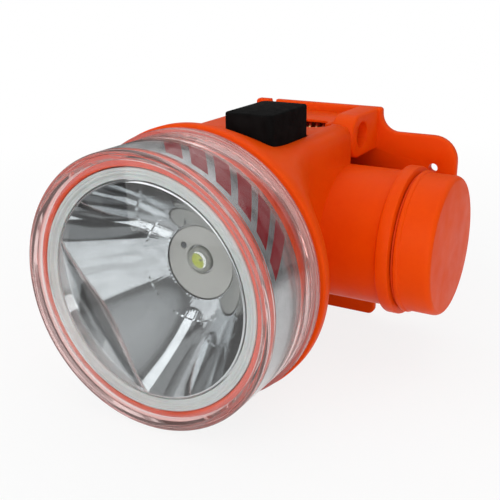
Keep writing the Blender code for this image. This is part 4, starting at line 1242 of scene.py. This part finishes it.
# ---------------------------------------------------------------- clear cap and reflector
@dataclass
class Head:
    """What is inside and round the neck: clear cap, gasket, foil, seal, reflector and LED.

    Attributes:
        front: Front rim of the clear cap.
        rear: Rear of the clear cap.
        cap_r: Outside of the clear cap.
        flange_r: Radius of its flange.
        flange_y: Front of its flange.
        bore: Inside of the clear cap.
        lens_y: Front and back of the lens disc.
        mouth_y: Mouth of the reflector.
        throat_y: Throat of the reflector.
        mouth_r: Radius at the mouth.
        throat_r: Radius at the throat.
        dimple_r: Outer radius of the dimpled zone.
        dimple: Height of the dimples.
        steps: Sides of the reflector.
        rows: Rows of points along the smooth part and along the dimpled zone.
        wall: Thickness of the reflector.
        gasket_y: Front of the gasket.
        gasket_r: Inner and outer radius of the gasket.
        boss_x: The screw bosses' distance from the beam's axis.
        boss_r: Their radius.
        disc_y: Front of the disc round the LED.
        disc_r: Radius of that disc.
        dome_y: Where the LED's dome starts.
        dome_r: Radius of the dome.
        led_z: Height of the LED above the beam's axis.
    """

    front: float = -96.0
    rear: float = -73.1
    cap_r: float = 35.0
    flange_r: float = 36.2
    flange_y: float = -75.4
    bore: float = 33.2
    lens_y: tuple[float, float] = (-95.5, -93.7)
    mouth_y: float = -92.9
    throat_y: float = -64.9
    mouth_r: float = 27.01
    throat_r: float = 11.5
    dimple_r: float = 16.2
    dimple: float = 0.05
    steps: int = 128
    rows: tuple[int, int] = (44, 12)
    wall: float = 1.2
    gasket_y: float = -93.4
    gasket_r: tuple[float, float] = (27.81, 30.61)
    boss_x: float = 15.8
    boss_r: float = 2.6
    disc_y: float = -64.6
    disc_r: float = 11.2
    dome_y: float = -65.6
    dome_r: float = 2.7
    led_z: float = 1.0

    def clear_cap(self) -> None:
        """Turn the clear cap, with the fine steps of its rim and flange."""
        rim = [(0.08, -1.95), (0, -1.8), (0, -1.25), (0.14, -1.12), (0.14, -1.0), (0, -0.87), (0, -0.62),
               (0.08, -0.34), (0.22, -0.12), (0.45, 0), (1.7, 0), (1.82, -0.12), (1.98, -0.12), (2.1, 0)]
        root = [(-0.5, 0), (-0.14, 0.18), (0, 0.55)]
        flange = [(0.06, -0.25), (0.3, 0), (0.85, 0), (1.0, -0.22), (1.25, -0.22), (1.4, 0)]
        back = [(-0.3, 0), (-0.06, -0.12), (0, -0.35)]
        inside = [(0.5, 0), (0.15, -0.15), (0, -0.5)]
        lens_front, lens_back = self.lens_y
        profile = [
            (lens_front, 0), (lens_front, self.cap_r - 2.5), *Bench.steps(rim, self.front, self.cap_r),
            *Bench.steps(root, self.flange_y, self.cap_r), *Bench.steps(flange, self.flange_y, self.flange_r),
            *Bench.steps(back, self.rear, self.flange_r), (self.rear, self.bore + 0.1), (self.rear - 0.1, self.bore),
            *Bench.steps(inside, lens_back, self.bore), (lens_back, 0),
        ]
        cap = Bench.turned("clear_cap", profile, steps=224)
        Bench.dress(cap, Body.CLEAR_CAP, "clear_polycarbonate", Finishes.CLEAR, "lens_cap")

    def gasket(self) -> None:
        """Turn the white gasket with its lip and fine moulded lines."""
        y, (inner, outer) = self.gasket_y, self.gasket_r
        profile = [
            (y + 0.62, inner), (y + 0.5, inner + 0.12), (y + 0.5, inner + 0.5), (y + 0.58, inner + 0.58),
            (y + 0.5, inner + 0.66), (y + 0.46, inner + 1.0), (y + 0.12, inner + 1.26), (y, inner + 1.42),
            (y, inner + 1.8), (y + 0.14, inner + 1.9), (y + 0.14, inner + 1.98), (y, inner + 2.08),
            (y, outer - 0.15), (y + 0.15, outer), (y + 1.6, outer), (y + 1.6, inner),
        ]
        ring = Bench.turned("mouth_gasket", profile, steps=192)
        Bench.dress(ring, Body.GASKET, "white_silicone", Finishes.SILICONE, "lens_gasket")

    def bands(self) -> None:
        """Turn the printed foil and the seal behind the clear cap."""
        foil = Bench.washer("printed_foil", -91.8, -78.5, 32.65, 32.9, steps=224, edge=0.05)
        Bench.dress(foil, Body.LAMP, "silver_foil", Finishes.FOIL, "foil_band")
        seal = Bench.washer("rear_seal", -72.8, -72.1, 32.71, 34.31, steps=192, edge=0.12)
        Bench.dress(seal, Body.LAMP, "white_silicone", Finishes.SILICONE, "cap_seal_ring")

    def bowl_radius(self, y: float) -> float:
        """Radius of the parabola at a place along Y."""
        share = (self.throat_y - y) / (self.throat_y - self.mouth_y)
        return math.sqrt(self.throat_r ** 2 + (self.mouth_r ** 2 - self.throat_r ** 2) * share)

    def bowl_place(self, radius: float) -> float:
        """Place along Y where the parabola has a radius."""
        share = (radius ** 2 - self.throat_r ** 2) / (self.mouth_r ** 2 - self.throat_r ** 2)
        return self.throat_y - (self.throat_y - self.mouth_y) * share

    def reflector(self) -> None:
        """Turn the reflector and press the diamond dimples round its throat."""
        dimple_y = self.bowl_place(self.dimple_r)
        plain, dimpled = self.rows
        smooth = [self.mouth_y + (dimple_y - self.mouth_y) * i / plain for i in range(plain)]
        rows = [dimple_y + (self.throat_y - dimple_y) * i / dimpled for i in range(dimpled + 1)]
        inner = [(y, self.bowl_radius(y)) for y in smooth + rows]
        collar, (rim_front, rim_rear), rim_r = self.throat_y + 3.2, (-91.5, -90.5), self.gasket_r[1]
        outside = [(collar, self.throat_r + 1.0)]
        outside += [(y, r + self.wall) for y, r in inner[::-3] if y > rim_rear + 1.0]
        outside += [(rim_rear, self.bowl_radius(rim_rear) + self.wall), (rim_rear, rim_r), (rim_front, rim_r),
                    (rim_front, self.mouth_r + 0.5), (self.mouth_y + 0.1, self.mouth_r + 0.5),
                    (self.mouth_y, self.mouth_r + 0.4)]
        bowl = Bench.turned("reflector_bowl", [*inner, (collar, self.throat_r), *outside], steps=self.steps)
        row_of = {round(y * 1000): i for i, y in enumerate(rows)}
        for point in bowl.data.vertices:
            x, y, z = point.co / MM
            row = row_of.get(round(y * 1000))
            radius = math.hypot(x, z)
            if row is None or abs(radius - self.bowl_radius(y)) > 0.01 or row in (0, len(rows) - 1):
                continue
            column = round(math.atan2(x, z) / (2 * math.pi / self.steps))
            lift = self.dimple if (row + column) % 2 else -self.dimple
            slope = math.atan2((self.mouth_r ** 2 - self.throat_r ** 2) / (self.throat_y - self.mouth_y), 2 * radius)
            inward = Vector((-x / radius * math.cos(slope), -math.sin(slope), -z / radius * math.cos(slope)))
            point.co += inward * lift * MM
        boss_front = self.bowl_place(self.boss_x + self.boss_r)
        for x in (-self.boss_x, self.boss_x):
            boss = Bench.rod("boss", boss_front, -61.5, self.boss_r, Axis.Y, (x, 0, 0), 32)
            skin = [(y, r + 0.5) for y, r in inner]
            bowl_tool = [(self.mouth_y, 0), *skin, (collar + 1, self.throat_r + 0.5), (collar + 1, 0)]
            Bench.cut(boss, Bench.turned("bowl_tool", bowl_tool, steps=self.steps))
            Bench.join(bowl, boss)
        Bench.shade(bowl, 50.0)
        for face in bowl.data.polygons:
            x, y, z = face.center / MM
            if dimple_y < y < self.throat_y and math.hypot(x, z) < self.bowl_radius(y) + 0.3:
                face.use_smooth = False
        Bench.dress(bowl, Body.LAMP, "chrome_coating", Finishes.MIRROR, "reflector")

    def led(self) -> None:
        """Build the holder disc, the emitter in its milky ring and the clear dome."""
        centre = (0.0, 0.0, self.led_z)
        front = self.disc_y
        disc = Bench.rod("led_holder", front, front + 1.2, self.disc_r, Axis.Y, BEAM, 128, 0.2)
        funnel = [(front - 0.2, 0), (front - 0.2, 4.9), (front + 0.3, 4.45), (front + 2, 4.4), (front + 2, 0)]
        Bench.cut(disc, Bench.turned("funnel", funnel, Axis.Y, centre, 96),
                  Bench.rod("hole", front - 1, front + 2, 1.05, Axis.Y, (-5.6, 0, 4.6), 32))
        Bench.soften(disc, 0.08, 60)
        Bench.dress(disc, Body.LAMP, "white_nylon", Finishes.NYLON, "led_holder_disc")
        base = [(-65.2, 0), (-65.2, 2.5), (-65.3, 2.62), (-65.3, 3.3), (-65.18, 3.7), (-64.9, 3.95), (-64.8, 4.0),
                (-63.4, 4.0), (-63.4, 0)]
        ring = Bench.turned("led_emitter", base, Axis.Y, centre, 96)
        Bench.dress(ring, Body.LAMP, "phosphor", Finishes.EMITTER, "led_emitter_base")
        y, r = self.dome_y, self.dome_r
        turns = [math.radians(degrees) for degrees in range(90, -1, -6)]
        dome = [(y - r * math.sin(turn), r * math.cos(turn)) for turn in turns]
        dome[0] = (dome[0][0], 0.0)
        lens = Bench.turned("led_lens", [*dome, (y + 0.1, r), (y + 0.2, 0)], Axis.Y, centre, 64)
        Bench.dress(lens, Body.LAMP, "clear_dome", Finishes.DOME, "led_dome")

    def build(self) -> None:
        """Build every piece of the head."""
        self.clear_cap()
        self.gasket()
        self.bands()
        self.reflector()
        self.led()


# ---------------------------------------------------------------- button
@dataclass
class Button:
    """The square rubber push button on the top of the block.

    Attributes:
        x: Centre along X.
        y: Centre along Y.
        half_x: Half width.
        half_y: Half length.
        corner: Radius of its upright edges.
        top: Top of its sides.
        foot: Top of its flange.
        crown: Rise of its crown.
        edge: Rounding of its top edge.
    """

    x: float = 10.15
    y: float = -51.8
    half_x: float = 6.85
    half_y: float = 10.6
    corner: float = 1.6
    top: float = 38.6
    foot: float = 24.6
    crown: float = 0.68
    edge: float = 0.5

    def outline(self, gap: float, count: int = 8) -> Profile:
        """Trace the button from above, grown by a gap.

        Args:
            gap: How far outside the button it runs.
            count: Steps round each corner.

        Returns:
            The outline.
        """
        r = max(self.corner + gap, 0.3)
        points: Profile = []
        for sx, sy, start in ((1, 1, 0), (-1, 1, 90), (-1, -1, 180), (1, -1, 270)):
            cx = self.x + sx * (self.half_x + gap - r)
            cy = self.y + sy * (self.half_y + gap - r)
            points += Bench.arc((cx, cy), r, start, start + 90, count)
        return points

    def prism(self, name: str, gap: float, low: float, high: float) -> Piece:
        """Extrude the grown outline from low to high."""
        return Bench.extruded(name, self.outline(gap), Axis.Z, low, high)

    def build(self) -> None:
        """Build the cap with its rounded edge and low crown, its flange and its stem."""
        rings = [[(x, y, self.foot - 0.6) for x, y in self.outline(0)]]
        for step in range(0, 7):
            turn = math.radians(90 * step / 6)
            inset, rise = self.edge * (1 - math.cos(turn)), self.edge * math.sin(turn)
            rings.append([(x, y, self.top - self.edge + rise) for x, y in self.outline(-inset)])
        last = rings[-1]
        for share in (0.92, 0.8, 0.62, 0.42, 0.22, 0.08):
            rise = self.crown * (1 - share * share)
            rings.append([(self.x + (x - self.x) * share, self.y + (y - self.y) * share, self.top + rise)
                          for x, y, _ in last])
        cap = Bench.lofted("switch_button", rings)
        Bench.join(cap, self.prism("flange", 1.0, self.foot - 1.2, self.foot),
                   Bench.rod("stem", 19.5, self.foot, 2.2, Axis.Z, (self.x, self.y, 0), 32))
        Bench.shade(cap, 50.0)
        Bench.dress(cap, Body.BUTTON, "black_rubber", Finishes.RUBBER, "push_button")


# ---------------------------------------------------------------- battery cap and springs
@dataclass
class BatteryEnd:
    """The screw-on battery cap with its seal and the spring behind the cell.

    Attributes:
        start: Rear of the cap's outside.
        end: Its outer face.
        radius: Its radius.
        ridge: Rise of the ridge at its root.
        face_r: Radius of the flat outer face.
        skirt_x: Inner end of the skirt.
        skirt_r: Radius of the skirt.
    """

    start: float = 43.7
    end: float = 53.6
    radius: float = 19.6
    ridge: float = 0.5
    face_r: float = 18.3
    skirt_x: float = 37.3
    skirt_r: float = 16.7

    def build(self) -> None:
        """Build the cap, its seal and its spring."""
        edge, rise = 1.9, self.radius - self.face_r
        rounding = [(self.end - edge * (1 - math.sin(a)), self.radius - rise * (1 - math.cos(a)))
                    for a in [math.radians(d) for d in range(0, 91, 9)]]
        root = self.radius + self.ridge
        profile = [
            (self.end - 2, 0), (self.end - 2, self.skirt_r - 1.8), (self.skirt_x, self.skirt_r - 1.8),
            (self.skirt_x, self.skirt_r), (self.start, self.skirt_r), (self.start, root - 0.35),
            (self.start + 0.1, root - 0.1), (self.start + 0.35, root), (self.start + 0.95, root),
            (self.start + 1.2, root - 0.1), (self.start + 1.45, self.radius + 0.06), (self.start + 1.9, self.radius),
            *rounding, (self.end, 0),
        ]
        cap = Bench.turned("battery_end_cap", profile, Axis.X, BARREL, 192)
        Bench.dress(cap, Body.END_CAP, "orange_abs", Finishes.ORANGE, "battery_cap")
        seal = Bench.washer("battery_end_seal", 42.9, 43.4, 17.0, 19.3, Axis.X, BARREL, 160, 0.1)
        Bench.dress(seal, Body.CAP_SEAL, "orange_rubber", Finishes.SEAL, "battery_cap_seal")
        spring = Coil("cell_spring", 50.7, 36.55, 10.0, 4, 0.6, BARREL, 4.5).build()
        Bench.dress(spring, Body.END_CAP, "steel", Finishes.STEEL, "battery_spring")


@dataclass
class Coil:
    """A round wire wound about an axis along X.

    Attributes:
        name: The object's name.
        start: First place along X.
        end: Last place along X.
        radius: Radius of the wire's middle.
        curls: Number of turns.
        wire: Radius of the wire.
        centre: A point on the axis.
        taper: How much the radius falls from start to end.
        per_curl: Steps in one turn.
    """

    name: str
    start: float
    end: float
    radius: float
    curls: int
    wire: float
    centre: Place
    taper: float = 0.0
    per_curl: int = 32

    def build(self) -> Piece:
        """Sweep the wire's section round the axis and close its ends.

        Returns:
            The coil.
        """
        work = bmesh.new()
        bmesh.ops.create_circle(work, segments=14, radius=self.wire * MM)
        begin = Vector(self.centre) + Vector((self.start, self.radius, 0))
        lean = math.atan2((self.end - self.start) / self.curls, 2 * math.pi * self.radius)
        bmesh.ops.rotate(work, verts=work.verts, cent=(0, 0, 0), matrix=Matrix.Rotation(-lean, 3, "Y"))
        bmesh.ops.translate(work, verts=work.verts, vec=begin * MM)
        count = self.curls * self.per_curl
        bmesh.ops.spin(work, geom=work.verts[:] + work.edges[:], cent=Vector(self.centre) * MM, axis=(1, 0, 0),
                       dvec=Vector(((self.end - self.start) * MM / count, 0, 0)), angle=2 * math.pi * self.curls,
                       steps=count)
        bmesh.ops.holes_fill(work, edges=[e for e in work.edges if e.is_boundary], sides=0)
        for point in work.verts:
            share = (point.co.x / MM - self.start) / (self.end - self.start)
            radius = self.radius - self.taper * min(max(share, 0.0), 1.0)
            off = Vector((0, point.co.y / MM - self.centre[1], point.co.z / MM - self.centre[2]))
            shift = off.normalized() * (radius - self.radius) * MM
            point.co += shift
        return Bench.settle(self.name, work, 60.0)


# ---------------------------------------------------------------- pieces kept as packed
@dataclass
class Inside:
    """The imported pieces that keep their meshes, each with its finish.

    Attributes:
        coats: The finish of each node.
    """

    coats: dict[str, Finishes]

    def build(self) -> None:
        """Give each kept node its finish, through its object's own slots."""
        for name, finish in self.coats.items():
            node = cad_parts[name]
            for place in node.material_slots:
                place.link = "OBJECT"
                place.material = finish.value.paint()
            LOG.info("%s keeps its mesh, in %s", name, finish.value.name)


def kept_pieces() -> Inside:
    """List the pieces inside the shell and the small ones at the hinge."""
    return Inside({
        "hinge_pin": Finishes.STEEL, "friction_washer": Finishes.BRASS, "led_star_board": Finishes.ALUMINIUM,
        "indicator_led": Finishes.INDICATOR, "heat_sink": Finishes.ALUMINIUM, "heat_sink_screw_1": Finishes.SCREW,
        "heat_sink_screw_2": Finishes.SCREW, "board_screw_1": Finishes.SCREW, "board_screw_2": Finishes.SCREW,
        "switch_body": Finishes.BLACK, "driver_board": Finishes.BOARD, "driver_capacitor": Finishes.ALUMINIUM,
        "driver_inductor": Finishes.BLACK, "led_lead_red": Finishes.RED_LEAD, "led_lead_black": Finishes.BLACK_LEAD,
        "battery_lead_red": Finishes.RED_LEAD, "battery_lead_black": Finishes.BLACK_LEAD,
        "battery_cell": Finishes.CELL, "positive_strip": Finishes.NICKEL, "negative_strip": Finishes.NICKEL,
    })


# ---------------------------------------------------------------- studio
@dataclass
class Lamp:
    """One soft rectangular lamp.

    Attributes:
        name: Its name.
        place: Where it stands, in metres.
        target: What it points at, in metres.
        power: Its power in watts.
        size: Its width and height in metres.
    """

    name: str
    place: Place
    target: Place
    power: float
    size: tuple[float, float]

    def build(self) -> None:
        """Add the lamp to the scene."""
        light = bpy.data.lights.new(self.name, "AREA")
        light.shape = "RECTANGLE"
        light.size, light.size_y = self.size
        light.energy = self.power
        holder = bpy.data.objects.new(self.name, light)
        bpy.context.scene.collection.objects.link(holder)
        holder.location = self.place
        holder.rotation_euler = (Vector(self.target) - Vector(self.place)).to_track_quat("-Z", "Y").to_euler()


@dataclass
class Studio:
    """Floor, world, lamps and camera.

    Attributes:
        floor_z: Height of the floor in metres.
        ambient: Strength of the world's even light.
        aim: Where the lamps point.
        lens: Focal length of the camera in millimetres, on a sensor 36 mm wide.
        eye: Place of the camera.
        view: The camera's right, up and back directions.
    """

    floor_z: float = -0.0369
    ambient: float = 0.5
    aim: Place = (0.0, -0.045, 0.0)
    lens: float = 57.683
    eye: Place = (0.1092265, -0.2339483, 0.0727394)
    view: tuple[Place, Place, Place] = ((0.86873, 0.49522, -0.00804), (-0.15800, 0.29250, 0.94313),
                                        (0.46940, -0.81805, 0.33234))

    def floor(self) -> None:
        """Lay a pale floor that turns white to the camera and keeps a soft shadow."""
        work = bmesh.new()
        bmesh.ops.create_grid(work, x_segments=2, y_segments=2, size=6.0,
                              matrix=Matrix.Translation((0, 0, self.floor_z)))
        mesh = bpy.data.meshes.new("floor")
        work.to_mesh(mesh)
        work.free()
        sheet = NodeSheet("floor_paper")
        shade = sheet.blend(sheet.spread(sheet.noise(40.0, 3.0), 0.0, 1.0), (0.88, 0.88, 0.88), (0.9, 0.9, 0.9))
        sheet.drive("Base Color", shade)
        sheet.plain(Roughness=0.9, Specular_IOR_Level=0.1)
        white = sheet.node("ShaderNodeEmission")
        mix = sheet.node("ShaderNodeMixShader")
        path = sheet.node("ShaderNodeLightPath")
        seen = sheet.math("MAXIMUM", path.outputs["Is Camera Ray"], path.outputs["Is Glossy Ray"])
        seen = sheet.math("MAXIMUM", seen, path.outputs["Is Transmission Ray"])
        direct = sheet.below(path.outputs["Diffuse Depth"], 0.5)
        seen = sheet.times(seen, direct)
        x, y, _ = sheet.axes()
        reach = sheet.reach(x, y)
        sheet.feed(mix.inputs[0], sheet.times(seen, sheet.spread(reach, 0.84, 1.0, 60.0, 300.0)))
        mirrored = sheet.math("GREATER_THAN", path.outputs["Glossy Depth"], 0.5)
        far = sheet.spread(reach, 1.0, 0.22, 140.0, 420.0)
        sheet.feed(white.inputs[1], sheet.blend(mirrored, (1.0, 1.0, 1.0), far))
        sheet.feed(mix.inputs[1], sheet.shader.outputs[0])
        sheet.feed(mix.inputs[2], white.outputs[0])
        sheet.feed(sheet.tree.nodes["Material Output"].inputs["Surface"], mix.outputs[0])
        mesh.materials.append(sheet.material)
        floor = bpy.data.objects.new("floor", mesh)
        bpy.context.scene.collection.objects.link(floor)

    def world(self) -> None:
        """Set an even world that is white to the camera, and a studio to shiny surfaces."""
        world = bpy.data.worlds.new("studio")
        bpy.context.scene.world = world
        world.use_nodes = True
        tree = world.node_tree
        tree.nodes.clear()

        def background(strength: float) -> bpy.types.Node:
            """Add a white background."""
            node = tree.nodes.new("ShaderNodeBackground")
            node.inputs[0].default_value = (1.0, 1.0, 1.0, 1.0)
            node.inputs[1].default_value = strength
            return node

        def after_bounce(depth: str) -> Socket:
            """Return 1 once a ray has bounced in the way that a depth counts."""
            node = tree.nodes.new("ShaderNodeMath")
            node.operation = "GREATER_THAN"
            node.inputs[1].default_value = 0.5
            tree.links.new(path.outputs[depth], node.inputs[0])
            return node.outputs[0]

        def mixed(share: Socket, first: bpy.types.Node, second: bpy.types.Node) -> bpy.types.Node:
            """Mix two backgrounds."""
            node = tree.nodes.new("ShaderNodeMixShader")
            tree.links.new(share, node.inputs[0])
            tree.links.new(first.outputs[0], node.inputs[1])
            tree.links.new(second.outputs[0], node.inputs[2])
            return node

        path = tree.nodes.new("ShaderNodeLightPath")
        even, shiny, white = background(self.ambient), background(1.0), background(1.0)
        tree.links.new(self.room(tree), shiny.inputs[0])
        through = mixed(after_bounce("Glossy Depth"), white, shiny)
        lit = mixed(path.outputs["Is Glossy Ray"], even, shiny)
        lit = mixed(path.outputs["Is Transmission Ray"], lit, through)
        lit = mixed(after_bounce("Diffuse Depth"), lit, even)
        lit = mixed(path.outputs["Is Camera Ray"], lit, white)
        output = tree.nodes.new("ShaderNodeOutputWorld")
        tree.links.new(lit.outputs[0], output.inputs[0])

    def room(self, tree: bpy.types.NodeTree) -> Socket:
        """Write what shiny surfaces see by direction: a pale ceiling over a grey, streaked room.

        Args:
            tree: The world's node tree.

        Returns:
            The colour.
        """
        source = tree.nodes.new("ShaderNodeTexCoord")
        split = tree.nodes.new("ShaderNodeSeparateXYZ")
        tree.links.new(source.outputs["Generated"], split.inputs[0])

        def ramp(value: Socket, start: float, end: float, low: float, high: float) -> Socket:
            """Map start..end smoothly to low..high."""
            node = tree.nodes.new("ShaderNodeMapRange")
            node.interpolation_type = "SMOOTHSTEP"
            for name, number in (("From Min", start), ("From Max", end), ("To Min", low), ("To Max", high)):
                node.inputs[name].default_value = number
            tree.links.new(value, node.inputs["Value"])
            return node.outputs[0]

        flat = tree.nodes.new("ShaderNodeMapping")
        flat.inputs["Scale"].default_value = (5.0, 5.0, 1.3)
        tree.links.new(source.outputs["Generated"], flat.inputs["Vector"])
        streak = tree.nodes.new("ShaderNodeTexNoise")
        streak.inputs["Scale"].default_value = 1.0
        streak.inputs["Detail"].default_value = 1.0
        tree.links.new(flat.outputs[0], streak.inputs["Vector"])
        tones = (ramp(streak.outputs[0], 0.42, 0.58, 0.08, 0.55), ramp(split.outputs[2], 0.45, 0.9, 0.0, 0.75))
        both = tree.nodes.new("ShaderNodeMath")
        both.operation = "MAXIMUM"
        for tone, socket in zip(tones, both.inputs):
            tree.links.new(tone, socket)
        return both.outputs[0]

    def lamps(self) -> None:
        """Hang the overhead softbox, the key and the fill."""
        for lamp in (
            Lamp("overhead", (0.05, 0.1, 0.95), self.aim, 3.3, (1.5, 1.2)),
            Lamp("key", (-0.15, -1.0, 0.4), self.aim, 5.6, (1.3, 1.0)),
            Lamp("fill", (0.7, -0.8, -0.03), self.aim, 2.5, (0.7, 0.5)),
        ):
            lamp.build()

    def camera(self) -> None:
        """Stand the camera where the picture was taken from."""
        lens = bpy.data.cameras.new("camera")
        lens.lens = self.lens
        lens.sensor_width = 36.0
        lens.clip_start = 0.01
        camera = bpy.data.objects.new("camera", lens)
        bpy.context.scene.collection.objects.link(camera)
        turn = Matrix(self.view).transposed().to_4x4()
        camera.matrix_world = Matrix.Translation(self.eye) @ turn
        bpy.context.scene.camera = camera

    def build(self) -> None:
        """Build the whole studio."""
        self.floor()
        self.world()
        self.lamps()
        self.camera()
        scene = bpy.context.scene
        scene.view_settings.view_transform = "Standard"
        scene.cycles.caustics_refractive = True
        scene.cycles.caustics_reflective = False


def main() -> None:
    """Build every sub-assembly, then the studio."""
    logging.basicConfig(level=logging.INFO, format="%(name)s: %(message)s")
    Bracket().build()
    Housing().build()
    Head().build()
    Button().build()
    BatteryEnd().build()
    hinge = Coil("hinge_spring", -1.2, 11.6, 2.3, 6, 0.5, HINGE).build()
    Bench.dress(hinge, Body.LAMP, "yellow_zinc", Finishes.BRASS, "tilt_spring")
    kept_pieces().build()
    Studio().build()


if __name__ == "__main__":
    main()
